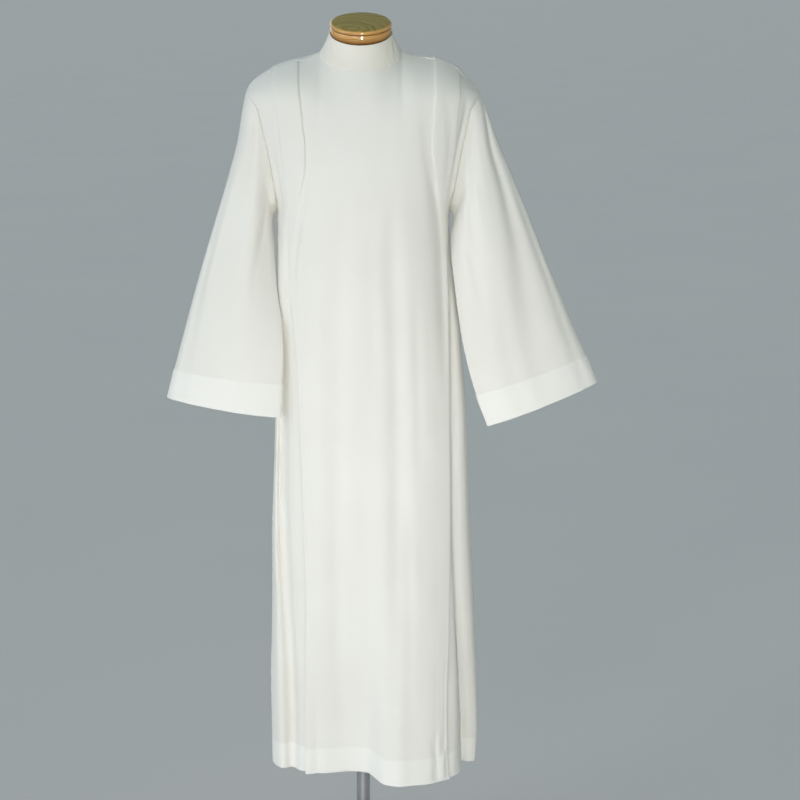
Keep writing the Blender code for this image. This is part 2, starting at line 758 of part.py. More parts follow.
def build_collar(collection):
    """The stand collar, its ends lapped at the back."""
    low = -math.pi - COLLAR_LAP_ANGLE
    rows = []
    for r in range(COLLAR_ROWS):
        share = r / (COLLAR_ROWS - 1)
        row = []
        for c in range(COLLAR_COLUMNS):
            turn = low + (math.pi * 2 + 2 * COLLAR_LAP_ANGLE) * c / (COLLAR_COLUMNS - 1)
            middle = NECK_FRONT if math.cos(turn) > 0 else NECK_BACK
            reach = abs(math.cos(turn))
            bottom = np.array([
                NECK_HALF_WIDTH * math.sin(turn),
                NECK_SIDE[0] + (middle[0] - NECK_SIDE[0]) * reach,
                NECK_SIDE[1] - RIDGE_DROP + (middle[1] - NECK_SIDE[1] + RIDGE_DROP) * reach,
            ])
            top_y = -COLLAR_TOP_DEPTH * math.cos(turn)
            top = np.array([
                COLLAR_TOP_RADIUS * math.sin(turn),
                COLLAR_TOP_MIDDLE[0] + top_y,
                COLLAR_TOP_MIDDLE[1] + top_y * COLLAR_TOP_TILT,
            ])
            rise = (top - bottom) / np.linalg.norm(top - bottom)
            out = np.array([math.sin(turn), -math.cos(turn), 0.0])
            lap = COLLAR_LAP_RISE * blend(COLLAR_LAP_START, math.pi - COLLAR_LAP_ANGLE, turn)
            place = bottom + rise * COLLAR_LIFT + (top - bottom - rise * COLLAR_LIFT) * share
            place = place + out * (lap - COLLAR_BULGE * math.sin(math.pi * share))
            row.append(place)
        rows.append(row)
    new_sheet("collar", rows, COLLAR_THICK, collection, new_cloth("collar"))


def build_sleeve(name, lines, sizes, folds, collection):
    """A sleeve and the cuff that lies on its lower end."""
    columns = SLEEVE_COLUMNS
    mouth = sleeve_mouth(lines, sizes, columns)
    rows = [sleeve_ring(lines, folds, mouth, s, columns) for s in SLEEVE_STATIONS]
    new_sheet("sleeve_" + name, rows, CLOTH_THICK, collection, new_cloth("sleeve_" + name), closed=True)
    out = CLOTH_THICK / 2 + CUFF_GAP + CUFF_THICK / 2
    rows = [sleeve_ring(lines, folds, mouth, s, columns, out) for s in CUFF_STATIONS]
    new_sheet("cuff_" + name, rows, CUFF_THICK, collection, new_cloth("cuff_" + name), closed=True)


# The dress form's torso: half its width at each height, and how far inside the robe it stays.
FORM = table(
    ("height", "half", "inset"),
    (890, 150, 22),
    (960, 156, 17),
    (1060, 146, 19),
    (1150, 136, 26),
    (1240, 142, 20),
    (1330, 152, 12),
    (1400, 158, 8),
    (1475, 168, 5),
    (1550, 186, 3.5),
    (1600, 202, 3.6),
    (1640, 214, 2.2),
    (1665, 219, 2.4),
    (1681, 221, 2.4),
)
FORM_COLUMNS = (
    -1, -0.93, -0.82, -0.68, -0.54, -0.42, -0.347, -0.32, -0.24, -0.12,
    0, 0.12, 0.24, 0.32, 0.347, 0.42, 0.54, 0.68, 0.82, 0.93, 1,
)
FORM_NECK = (6, 14)
FORM_NECK_ROWS = ((0.6, 61.0, -22.0), (1.0, 58.5, -12.0), (1.0, 58.0, 0.0))
FORM_NECK_TOP = (-9.0, 1731.5)
FORM_ROWS = (
    890, 925, 970, 1030, 1090, 1150, 1210, 1270, 1330, 1385,
    1430, 1475, 1515, 1550, 1585, 1612, 1638, 1660, 1673, 1681,
)


def form_half(row, side):
    """Points of the form's front (-1) or back (+1) along one row."""
    half = read(FORM, "half", row)
    inset = read(FORM, "inset", row)
    x = np.array(FORM_COLUMNS) * half + FORM_MIDDLE_X
    if row < ARMPIT_HEIGHT:
        reach = np.clip(np.abs(np.array(FORM_COLUMNS)), 0, 1)
        shape = (1 - reach**FORM_ROUNDNESS) ** (1 / FORM_ROUNDNESS)
        depth = read(BODY, "front" if side < 0 else "back", row) - inset - CLOTH_THICK / 2
        return np.stack([x, side * depth * shape, np.full_like(x, row)], 1)
    points = body_points(x, row, side)
    under = body_points(x, row - 1, side)
    beside = body_points(x + 1, row, side)
    out = np.cross(beside - points, points - under)
    out = out / np.linalg.norm(out, axis=1)[:, None]
    neck = 1 - blend(FORM_NECK_FREE, FORM_NECK_FREE + FORM_NECK_BLEND, np.abs(x))
    inset = inset + FORM_NECK_INSET * neck * blend(YOKE_HEIGHT, FORM_ROWS[-1], row)
    points = points + out * (inset + CLOTH_THICK / 2)[:, None] * side
    share = blend(ARMPIT_HEIGHT + FORM_PIT_ROWS[0], ARMPIT_HEIGHT + FORM_PIT_ROWS[1], row)
    edge = np.abs(np.array(FORM_COLUMNS)) ** FORM_SIDE_POWER
    points[:, 1] = points[:, 1] * (1 - edge * (1 - share))
    return points


def build_form(collection, material):
    """The torso: rows up to the shoulders, the shoulders closed and the neck drawn up."""
    count = len(FORM_COLUMNS)
    points = []
    rings = []
    for row in FORM_ROWS:
        front = form_half(row, -1)
        back = form_half(row, 1)[::-1]
        ring = []
        for p in list(front) + list(back):
            ring.append(len(points))
            points.append(p)
        rings.append(ring)
    faces = [tuple(rings[0])]
    size = 2 * count
    for low, high in zip(rings, rings[1:]):
        for k in range(size):
            n = (k + 1) % size
            faces.append((low[k], low[n], high[n], high[k]))
    top = rings[-1]
    first, last = FORM_NECK
    for k in range(count - 1):
        if not first <= k < last:
            faces.append((top[k], top[k + 1], top[size - 2 - k], top[size - 1 - k]))
    loop = top[first:last + 1] + top[size - 1 - last:size - first]
    turns = []
    for k in loop:
        p = points[k]
        turns.append(math.atan2(p[1] - FORM_NECK_CENTRE_Y, p[0]))
    for share, radius, lift in FORM_NECK_ROWS:
        ring = []
        for k, turn in zip(loop, turns):
            p = points[k]
            place = np.array([radius * math.cos(turn), radius * math.sin(turn), 0.0])
            place[2] = FORM_NECK_TOP[1] + place[1] * math.tan(CAP_TILT) + lift
            place[1] = place[1] * math.cos(CAP_TILT) + FORM_NECK_TOP[0] - lift * math.tan(CAP_TILT)
            place = p + (place - p) * share
            ring.append(len(points))
            points.append(place)
        for a in range(len(loop)):
            b = (a + 1) % len(loop)
            faces.append((loop[a], loop[b], ring[b], ring[a]))
        loop = ring
    faces.append(tuple(loop))
    return new_object("form_torso", points, faces, collection, material)


def lathe(name, profile, collection, material, steps):
    """A turned body from (radius, height) pairs, with a Screw modifier."""
    mesh = bpy.data.meshes.new(name)
    points = [(r * MM, 0.0, z * MM) for r, z in profile]
    mesh.from_pydata(points, [(k, k + 1) for k in range(len(points) - 1)], [])
    thing = bpy.data.objects.new(name, mesh)
    collection.objects.link(thing)
    mesh.materials.append(material)
    turn = thing.modifiers.new("turn", "SCREW")
    turn.axis = "Z"
    turn.steps = steps
    turn.render_steps = steps
    turn.use_merge_vertices = True
    turn.merge_threshold = 0.00001
    return thing


CAP_PROFILE = (
    (0, 3.5), (56, 3), (60.5, 1.2), (62, -1.2), (61.6, -2.8), (59.6, -4),
    (61.4, -5.4), (61.8, -9), (60.6, -24), (57, -25.5), (0, -25.5),
)
POLE_PROFILE = ((0, 889.4), (30, 889.4), (30, 866), (14, 860), (14, 34), (18, 30), (18, 21), (0, 21))
BASE_PROFILE = (
    (0, 20.5), (40, 20.5), (120, 18), (161, 15), (165, 11), (165, 4), (161, 0),
    (0, 0),
)


def main():
    for thing in list(bpy.data.objects):
        bpy.data.objects.remove(thing)
    robe = bpy.data.collections.new("alb_robe")
    bpy.context.scene.collection.children.link(robe)
    new_sheet("front", [front_row(h) for h in FRONT_ROWS], CLOTH_THICK, robe, new_cloth("front"))
    new_sheet("back", [back_row(h) for h in BACK_ROWS], CLOTH_THICK, robe, new_cloth("back"))
    build_collar(robe)
    build_sleeve("right", SLEEVE_RIGHT, FRONT_RIGHT, SLEEVE_RIGHT_FOLDS, robe)
    build_sleeve("left", SLEEVE_LEFT, FRONT_LEFT, SLEEVE_LEFT_FOLDS, robe)
    build_form(robe, new_material("form_cover", (0.62, 0.58, 0.5), 0.9))
    wood = new_material("varnished_wood", (0.42, 0.22, 0.07), 0.3, coat=0.6)
    steel = new_material("pole_steel", (0.5, 0.5, 0.5), 0.35)
    paint = new_material("base_paint", (0.12, 0.12, 0.12), 0.5)
    cap = lathe("neck_cap", CAP_PROFILE, robe, wood, CAP_STEPS)
    cap.location = (0.0, CAP_MIDDLE[0] * MM, CAP_MIDDLE[1] * MM)
    cap.rotation_euler = (CAP_TILT, 0.0, 0.0)
    lathe("pole", POLE_PROFILE, robe, steel, POLE_STEPS)
    lathe("base", BASE_PROFILE, robe, paint, BASE_STEPS)


main()
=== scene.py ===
"""The looks of a white alb on a limbless dress form: cloth, sewing, wood, metal, floor, light and camera.

Tables, profiles and the cloth's sizes are in millimetres and degrees.  Meshes, lamps and the camera are
placed in metres.  +Z is up, the robe's front faces -Y, and +X is the wearer's left.
"""

import logging
import math
from collections.abc import Sequence
from dataclasses import dataclass, field
from enum import Enum

import bmesh
import bpy
import numpy as np
from bpy.types import Material, Mesh, Node, NodeSocket, NodeTree, Object
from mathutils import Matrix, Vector


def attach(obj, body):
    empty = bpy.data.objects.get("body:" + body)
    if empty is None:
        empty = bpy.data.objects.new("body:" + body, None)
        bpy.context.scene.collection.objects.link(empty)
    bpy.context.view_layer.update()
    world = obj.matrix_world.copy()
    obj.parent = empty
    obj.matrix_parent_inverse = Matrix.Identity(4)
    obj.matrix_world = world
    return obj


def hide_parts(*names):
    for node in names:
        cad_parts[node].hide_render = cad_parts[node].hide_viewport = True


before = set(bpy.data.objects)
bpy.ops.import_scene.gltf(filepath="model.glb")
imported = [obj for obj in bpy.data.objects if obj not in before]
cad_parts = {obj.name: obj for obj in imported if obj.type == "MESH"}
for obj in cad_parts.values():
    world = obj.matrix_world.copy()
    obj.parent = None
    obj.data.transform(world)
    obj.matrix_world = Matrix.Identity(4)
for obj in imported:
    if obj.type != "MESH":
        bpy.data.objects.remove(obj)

Array = np.ndarray
Colour = tuple[float, float, float, float]
Point = tuple[float, float, float]
Pair = tuple[float, float]
Pairs = tuple[Pair, ...]
MM = 0.001
UP = np.array([0.0, 0.0, 1.0])
BODY_NAME = "root"
LOG = logging.getLogger("alb")


def ease(xs: Array, ys: Array, x: Array | float) -> Array:
    """Read a smooth curve through points, without overshoot.

    Args:
        xs: The points' places, rising.
        ys: The points' values.
        x: Where the curve is read.

    Returns:
        The curve's values at x.
    """
    step = np.diff(xs)
    rise = np.diff(ys) / step
    slope = np.zeros(len(xs))
    same = rise[:-1] * rise[1:] > 0
    mean = 2 * rise[:-1] * rise[1:] / np.where(same, rise[:-1] + rise[1:], 1.0)
    slope[1:-1] = np.where(same, mean, 0.0)
    slope[0] = rise[0]
    slope[-1] = rise[-1]
    x = np.clip(x, xs[0], xs[-1])
    k = np.clip(np.searchsorted(xs, x) - 1, 0, len(step) - 1)
    t = (x - xs[k]) / step[k]
    a = ys[k] * (1 + 2 * t) * (1 - t) ** 2
    b = ys[k + 1] * t * t * (3 - 2 * t)
    c = slope[k] * step[k] * t * (1 - t) ** 2
    d = slope[k + 1] * step[k] * t * t * (t - 1)
    return a + b + c + d


def blend(low: float, high: float, x: Array | float) -> Array:
    """Rise smoothly from 0 at low to 1 at high."""
    t = np.clip((x - low) / (high - low), 0.0, 1.0)
    return t * t * (3 - 2 * t)


class Columns:
    """A short table with named columns, read smoothly between its rows."""

    def __init__(self, names: Sequence[str], *rows: Sequence[float]) -> None:
        """Keep each column under its name."""
        self.names = tuple(names)
        self.values = dict(zip(names, np.array(rows, float).T))

    def __getitem__(self, name: str) -> Array:
        """Give a whole column."""
        return self.values[name]

    def read(self, name: str, place: Array | float) -> Array:
        """Read a column at a place along the first one."""
        return ease(self.values[self.names[0]], self.values[name], place)


# The smooth body under the folds: its left and right reach and its depth before and behind.
BODY = Columns(
    ("height", "left", "right", "front", "back"),
    (217, -192, 238, 128, 150),
    (300, -193, 243, 128, 146),
    (400, -194, 240, 128, 141),
    (500, -191, 236, 129, 136),
    (600, -189, 231, 130, 131),
    (720, -188, 225, 130, 126),
    (820, -184, 221, 130, 122),
    (900, -181, 218, 129, 119),
    (1000, -178, 213, 127, 115),
    (1080, -176, 206, 126, 112),
    (1150, -174, 200, 126, 110),
    (1220, -172, 190, 127, 109),
    (1280, -171, 184, 128, 109),
    (1330, -170.5, 179, 129, 110),
    (1385, -170, 178, 129, 111),
    (1430, -180, 193, 128, 112),
    (1475, -192, 206, 126, 112),
    (1515, -203, 217, 121, 110),
    (1550, -213, 226, 115, 106),
    (1585, -223, 234, 109, 100),
    (1620, -231, 241, 109, 100),
    (1650, -236, 246, 109, 100),
    (1685, -240, 250, 109, 100),
)

# Wearer's right side of the front.  seam is the side seam, or the armhole above the armpit.
# crest, valley and strip are the side panel's rise, its crease and the cloth beside the pleat.
# A "back" column is how far that line lies behind the smooth body.
PANEL_NAMES = (
    "height", "seam", "crest", "crest_back", "valley", "valley_back", "strip", "strip_back",
    "edge", "lap", "tuck",
)
FRONT_RIGHT = Columns(
    PANEL_NAMES,
    (217, -192, -169, 6, -152, 28, -138, 16, -118, 18, -104),
    (300, -193, -170, 4, -152.5, 27, -138, 15, -119, 18, -104),
    (400, -194, -172, 1, -153, 25, -139, 14, -119.5, 18, -104),
    (500, -191, -174, -2, -157, 22, -140, 13, -116.5, 18, -102),
    (600, -189, -176, -5, -163, 19, -143, 12, -115.5, 18, -102),
    (720, -188, -178, -8, -168, 16, -147, 10, -119, 18, -104),
    (820, -184, -177, -8, -170, 14, -149, 9, -121, 18, -106),
    (900, -181, -174, -7, -168.5, 11, -149, 7, -124, 17, -109),
    (1000, -178, -173.5, -12, -166, 6, -149, 5, -127, 16, -112),
    (1080, -176, -171.5, -14, -163, 2, -148, 2, -131, 15, -116),
    (1150, -174, -168.5, -14, -157, -2, -147, 1, -136, 14, -121),
    (1220, -172, -165.5, -14, -153, -5, -148, 0, -142, 12, -127),
    (1280, -171, -165, -11, -155, -4, -149, -1, -143.5, 10, -128),
    (1330, -170.5, -163.5, -5, -154, -2, -149, 0, -143, 10, -127),
    (1385, -170, -162, 0, -154, 0, -150, 0, -144.5, 10, -125),
    (1430, -175, -167, 0, -159, 0, -154, 0, -149.5, 13, -117),
    (1475, -181, -172, 0, -163, 0, -158, 0, -153.5, 15, -109.5),
    (1515, -189, -178, 0, -168, 0, -163, 0, -158.5, 16, -109),
    (1550, -197, -184, 0, -172, 0, -167, 0, -162, 16, -113),
    (1585, -206, -191, 0, -178, 0, -172, 0, -166, 16, -116.5),
    (1620, -217, -200, 0, -185, 0, -178, 0, -171, 16, -121),
    (1650, -225, -207, 0, -191, 0, -183, 0, -175, 16, -124),
    (1685, -230, -212, 0, -195, 0, -186, 0, -177, 16, -125),
)

# Wearer's left side of the front, in the same columns.
FRONT_LEFT = Columns(
    PANEL_NAMES,
    (217, 238, 229, 26, 207, 60, 202, -6, 180, 16, 165),
    (300, 243, 232, 22, 206, 54, 200.5, -6, 175.5, 16, 160),
    (400, 240, 230, 15, 201, 46, 196, -4, 175, 16, 160),
    (500, 236, 226, 8, 195.5, 38, 191.5, 0, 178, 16, 162),
    (600, 231, 221, 4, 190, 31, 187, 4, 179, 16, 163),
    (720, 225, 215, 0, 184.8, 27, 182.8, 8, 179.5, 16, 163),
    (820, 221, 211, -3, 184, 23, 182, 11, 179, 16, 163),
    (900, 218, 208, -5, 183, 20, 181.2, 11, 178, 15, 162),
    (1000, 213, 204, -7, 182, 17, 180.2, 10, 177, 14, 161),
    (1080, 206, 199, -8, 181, 14, 179.2, 8, 176, 13, 160),
    (1150, 200, 194, -8, 180, 9, 178.5, 5, 175.5, 12, 160),
    (1220, 190, 186, -5, 178.5, 4, 176.8, 2, 174, 11, 159),
    (1280, 184, 180.5, 0, 176, 1, 174, 0.3, 171.5, 10, 156),
    (1330, 179, 176, 0, 172.5, 0, 170.5, 0, 168, 10, 154),
    (1385, 178, 176.6, 0, 174.6, 0, 173, 0, 171, 10, 152),
    (1430, 188, 185.5, 0, 182.5, 0, 179.6, 0, 176.5, 12, 150),
    (1475, 196, 192, 0, 188, 0, 184.5, 0, 181, 13, 146),
    (1515, 204, 199, 0, 195, 0, 191, 0, 186.5, 14, 140.5),
    (1550, 212, 207, 0, 202, 0, 196.5, 0, 190.5, 15, 142.5),
    (1585, 220, 214, 0, 208, 0, 201.5, 0, 194, 16, 144.5),
    (1620, 229, 221, 0, 213, 0, 205, 0, 197, 16, 147),
    (1650, 235, 226, 0, 217, 0, 207.5, 0, 197.6, 16, 147),
    (1685, 239, 229, 0, 219, 0, 209, 0, 198, 16, 147),
)

# The pleat's inner tuck: how far it laps under, and how far it has opened out.
TUCK = Columns(
    ("height", "lap", "open"),
    (217, 4, 1), (1330, 4, 1), (1385, 4, 0.88), (1430, 5, 0.45), (1475, 11, 0), (1685, 12, 0),
)
# How far the cloth beside the box pleat lies behind the pleat's edge.
PLEAT_DEPTH = Columns(
    ("height", "back"),
    (217, 3.5), (900, 3.5), (1300, 2.5), (1480, 0.6), (1685, 0),
)
TUCK_OPEN_SPREAD = (-9, -5.5, -2, 2, 5.5, 9)

# The closing at the centre of the back, as a lapped fold.
PLACKET = Columns(
    ("height", "line", "lap", "open"),
    (217, 26, 4, 1), (720, 18, 4, 1), (1230, 9, 4, 1), (1270, 9, 5, 0.4), (1310, 9, 14, 0),
    (1685, 9, 16, 0),
)

# How the hem swings: the front's shape at the hem, and the share of it at each height.
HEM_SWING = Columns(
    ("x", "back", "lift"),
    (-150, 0, 0), (-119, 4, 0.8), (-90, 13, 2.8), (-60, 20, 4.4), (-30, 26, 6), (-2, 24, 6.8),
    (13, 18, 6.6), (22, 9, 3.6), (30, -1, 0), (38, -11, -3.8), (47, -19, -6.2), (58, -24, -6.8),
    (80, -30, -7.2), (103, -28, -6.6), (137, -27, -6), (160, -23, -5), (180, -19, -4), (192, -8, -2),
    (208, 0, 0),
)
HEM_LIFT_ROWS = (275, 480)
HEM_SHARE = Columns(
    ("height", "share"),
    (217, 1), (272, 0.87), (340, 0.7), (420, 0.52), (510, 0.37), (600, 0.26), (720, 0.16), (850, 0.09),
    (1000, 0.04), (1150, 0), (1685, 0),
)

# Soft folds of the front: the line each follows, its half width and its depth.
SOFT_FOLD_NAMES = ("height", "line", "width", "depth")
SOFT_FOLDS = tuple(Columns(SOFT_FOLD_NAMES, *rows) for rows in (
    ((260, -36, 20, 0), (450, -46, 20, 4.5), (700, -50, 19, 6), (1000, -46, 19, 6.5), (1250, -42, 19, 5.5),
     (1440, -40, 18, 0)),
    ((330, 70, 18, 0), (620, 74, 18, 4), (850, 74, 18, 6), (1100, 70, 18, 6), (1300, 62, 18, 4.5),
     (1430, 60, 18, 0)),
    ((1010, 167, 11, 0), (1120, 164, 11, 5), (1220, 161, 11, 9), (1320, 156, 10, 10), (1400, 148, 10, 9),
     (1465, 139, 10, 5.5), (1550, 130, 9, 3), (1610, 126, 9, 0)),
))

# Folds of the back at the hem: line, half width and how far out; their line higher up; and their share.
BACK_FOLDS = Columns(
    ("hem_line", "top_line", "width", "out"),
    (-138, -104, 24, -15), (-88, -70, 22, 13), (-38, -34, 22, -16), (18, 6, 24, 14), (80, 44, 22, -18),
    (132, 78, 22, 13), (184, 112, 20, -11),
)
BACK_SHARE = Columns(
    ("height", "share"),
    (217, 1), (400, 0.78), (600, 0.55), (800, 0.36), (1000, 0.2), (1200, 0.08), (1350, 0),
    (1685, 0),
)

# The shoulder's ridge seen from the front.
RIDGE = Columns(
    ("x", "height"),
    (-245, 1606), (-230, 1626), (-215, 1644), (-200, 1656), (-180, 1667), (-165, 1674), (-148, 1680),
    (-125, 1686), (-104, 1692.5), (-80, 1702), (80, 1702), (104, 1696), (130, 1693), (147, 1690),
    (162, 1685.5), (178, 1678), (190, 1670.5), (200, 1662), (216, 1646), (228, 1635), (239, 1622),
    (252, 1602),
)
RIDGE_DROP = 4.0
RIDGE_SHARE = 0.9
# How far in front of the form's middle the shoulder seam runs.
SEAM_PLACE = Columns(
    ("x", "y"),
    (-245, -8), (-230, -9), (-190, -16), (-120, -18), (-80, -14), (80, -14), (120, -18), (190, -16),
    (239, -9), (252, -8),
)

# The sleeves: the outer and the inner line of each, and half the sleeve's depth between them.
SLEEVE_NAMES = ("height", "out_x", "out_y", "out_z", "in_x", "in_y", "in_z", "depth")
SLEEVE_RIGHT = Columns(
    SLEEVE_NAMES,
    (0, -230, -9, 1622, -170, 0, 1386, 56),
    (1, -238, -9, 1585, -178, -4, 1366, 60),
    (2, -248, -10, 1525, -177.5, -14, 1342, 58),
    (3, -264, -12, 1465, -176.5, -26, 1314, 53),
    (4, -283, -14, 1400, -175, -38, 1282, 48),
    (5, -304, -16, 1332, -172.5, -51.5, 1246, 44),
    (6, -325, -18, 1262, -167, -66, 1206, 41),
    (7, -345, -20, 1192, -159, -80, 1160, 39),
    (8, -363, -22, 1128, -157, -85, 1106, 38),
    (9, -381, -24, 1064, -160, -88, 1042, 37),
    (10, -397, -26, 1003, -165, -90, 972, 36),
)
SLEEVE_LEFT = Columns(
    SLEEVE_NAMES,
    (0, 239, -9, 1618, 178, 0, 1386, 56),
    (1, 254, -9, 1580, 186, -11, 1366, 60),
    (2, 274, -10, 1525, 181.5, -37, 1338, 58),
    (3, 299, -12, 1465, 181.5, -53, 1303, 53),
    (4, 324, -14, 1404, 184.5, -62, 1267, 49),
    (5, 350, -16, 1340, 189, -68, 1230, 45),
    (6, 377, -18, 1275, 194, -72, 1189, 42),
    (7, 405, -20, 1209, 201, -74, 1142, 40),
    (8, 431, -22, 1146, 213, -75, 1085, 39),
    (9, 456, -24, 1092, 232, -76, 1018, 37),
    (10, 480, -26, 1035, 257, -76, 952, 36),
)
# Folds along the sleeves: where each lies round the sleeve, in degrees from its outer line.
SLEEVE_FOLD_NAMES = ("height", "turn", "width", "depth")
SLEEVE_RIGHT_FOLDS = tuple(Columns(SLEEVE_FOLD_NAMES, *rows) for rows in (
    ((0, 118, 16, 0), (1, 122, 16, 6), (3, 128, 16, 8), (5, 132, 15, 4), (8, 136, 15, 0)),
    ((1, 60, 20, 0), (3, 66, 20, 4), (6, 74, 18, 4), (9, 80, 18, 0)),
    ((0, 232, 18, 0), (2, 236, 18, 6), (6, 246, 18, 6), (10, 256, 18, 3)),
    ((0, 292, 18, 0), (3, 288, 18, 5), (7, 284, 18, 5), (10, 282, 18, 2)),
))
SLEEVE_LEFT_FOLDS = tuple(Columns(SLEEVE_FOLD_NAMES, *rows) for rows in (
    ((0.3, 16, 8, 0), (1, 28, 9, 7), (1.9, 41, 10, 10), (2.8, 47, 11, 9), (4.5, 60, 13, 7), (7, 76, 15, 6),
     (10, 90, 16, 2)),
    ((0.4, 70, 10, 0), (1, 90, 10, 5), (2, 104, 10, 7), (3.5, 116, 11, 6), (5, 122, 13, 3),
     (7, 126, 14, 0)),
    ((0, 236, 18, 0), (2, 240, 18, 6), (6, 248, 18, 6), (10, 258, 18, 3)),
    ((0, 296, 18, 0), (3, 292, 18, 5), (7, 286, 18, 5), (10, 284, 18, 2)),
))

# How far the layers of a pleat lie apart.
LAYER_PITCH = 1.05
# The small unevenness of hanging cloth: how many waves, and their widths, heights and lean.
RIPPLE_WAVES = 16
RIPPLE_WIDE = (26, 95)
RIPPLE_TALL = (160, 620)
RIPPLE_LEAN = 0.18
RIPPLE_UNIT = 70.0
# The gathers at a seam: their pitch, and the slow waves that keep them uneven, as size, length and start.
PUCKER_PITCH = 13.0
PUCKER_DRIFT = ((2.1, 31, 0), (1.3, 17, 2))
PUCKER_FINE = (0.5, 4.1, 1.7)
PUCKER_SWELL = (0.4, 53, 0.7)
SMOOTH_ANGLE = math.radians(70)


@dataclass(frozen=True)
class Crease:
    """A soft trough in the cloth, or a ridge where its depth is below zero, with a low lip on each side.

    Each point is (across, height, width, depth), from one end of the crease to the other.
    """

    points: tuple[tuple[float, float, float, float], ...]
    lip: float = 0.22
    lip_place: float = 1.8
    lip_width: float = 0.75

    def press(self, across: Array, height: Array) -> Array:
        """Work out how deep the cloth lies in the crease.

        Args:
            across: Each point's place across the cloth.
            height: Each point's height.

        Returns:
            The depth at each point.
        """
        nearest = np.full(across.shape, np.inf)
        width = np.ones(across.shape)
        depth = np.zeros(across.shape)
        for start, end in zip(self.points, self.points[1:]):
            run = (end[0] - start[0], end[1] - start[1])
            part = (across - start[0]) * run[0] + (height - start[1]) * run[1]
            t = np.clip(part / (run[0] ** 2 + run[1] ** 2), 0, 1)
            gap = np.hypot(across - start[0] - t * run[0], height - start[1] - t * run[1])
            nearer = gap < nearest
            nearest = np.where(nearer, gap, nearest)
            width = np.where(nearer, start[2] + (end[2] - start[2]) * t, width)
            depth = np.where(nearer, start[3] + (end[3] - start[3]) * t, depth)
        q = nearest / width
        ridge = np.exp(-(((q - self.lip_place) / self.lip_width) ** 2))
        return depth * (np.exp(-(q**2)) - self.lip * ridge)


# The front's creases, as across, height, width and depth in millimetres.
FRONT_CREASES = (
    Crease(((150, 345, 5, 0), (151, 290, 5, 2.4), (153, 222, 6, 3))),
    Crease(((172, 300, 4, 0), (175, 260, 5, 2.2), (177, 222, 5, 2.8))),
    Crease(((130, 350, 6, 0), (138, 316, 6, 1.1), (148, 280, 6, 1.3), (156, 250, 6, 0)), 0.3),
    Crease(((172, 322, 5, 0), (167, 292, 5, 1.2), (161, 258, 5, 1), (158, 238, 5, 0)), 0.3),
    Crease(((212, 318, 5, 0), (207, 286, 5, 1.2), (201, 256, 5, 0.9), (198, 236, 5, 0)), 0.3),
    Crease(((196, 420, 5, 0), (199, 320, 5, 1.8), (200, 222, 6, 2.4))),
    Crease(((214, 330, 5, 0), (216, 270, 5, 2), (218, 222, 5, 2.2))),
    Crease(((-132, 420, 6, 0), (-128, 320, 6, 1.6), (-126, 222, 6, 2.2))),
    Crease(((-98, 400, 9, 0), (-95, 300, 9, 1.6), (-94, 222, 9, 2))),
    Crease(((-20, 760, 12, 0), (-16, 560, 12, 1.4), (-12, 360, 12, 0))),
    Crease(((92, 900, 9, 0), (96, 700, 9, 1.4), (98, 480, 9, 1), (100, 300, 9, 0))),
    Crease(((-60, 1330, 12, 0), (-66, 1180, 12, 1.6), (-70, 980, 12, 1.2), (-74, 760, 12, 0))),
    Crease(((20, 1440, 14, 0), (22, 1300, 14, 1.2), (24, 1120, 14, 1.4), (26, 900, 14, 0))),
    Crease(((108, 1290, 8, 0), (112, 1130, 8, 1.6), (116, 960, 8, 1.4), (118, 800, 8, 0))),
    Crease(((-104, 1500, 4, 0), (-112, 1430, 5, 1.8), (-124, 1350, 5, 2.2), (-132, 1290, 5, 1.6),
            (-138, 1200, 5, 0)), 0.3),
    Crease(((-188, 1600, 7, 0), (-182, 1545, 8, 0.8), (-176, 1500, 8, 1.2), (-170, 1460, 7, 3.6),
            (-161, 1400, 7, 5.4), (-158, 1350, 5, 0)), 0.1),
    Crease(((212, 1625, 6, 0), (207, 1560, 7, 6), (199, 1520, 6, 7), (190, 1475, 5, 7),
            (180, 1425, 4, 5), (174, 1390, 3, 0)), 0.1),
    Crease(((-122, 222, 3, 2.5), (-123, 400, 3, 2.5), (-120, 500, 3, 2.5), (-119, 600, 3, 2.5),
            (-122.5, 720, 3, 2.5), (-124.5, 820, 3, 2.2), (-127.5, 900, 3, 2.2), (-130.5, 1000, 3, 2),
            (-134.5, 1080, 3, 1.8), (-139.5, 1150, 3, 1.5), (-146, 1220, 3, 1), (-148, 1290, 3, 0)), 0),
    Crease(((168, 1620, 5, 0), (176, 1570, 5, 2.6), (178, 1520, 5, 2.8), (172, 1460, 5, 1.2),
            (168, 1430, 5, 0))),
    Crease(((-143, 222, 9, 9), (-143.5, 330, 9, 9), (-145, 420, 8, 8), (-150, 520, 6, 6.5),
            (-156, 620, 4.5, 5), (-160, 760, 4, 4.5), (-162, 880, 4, 4), (-160, 1000, 4, 2.5),
            (-158, 1100, 4, 0)), 0.1),
)
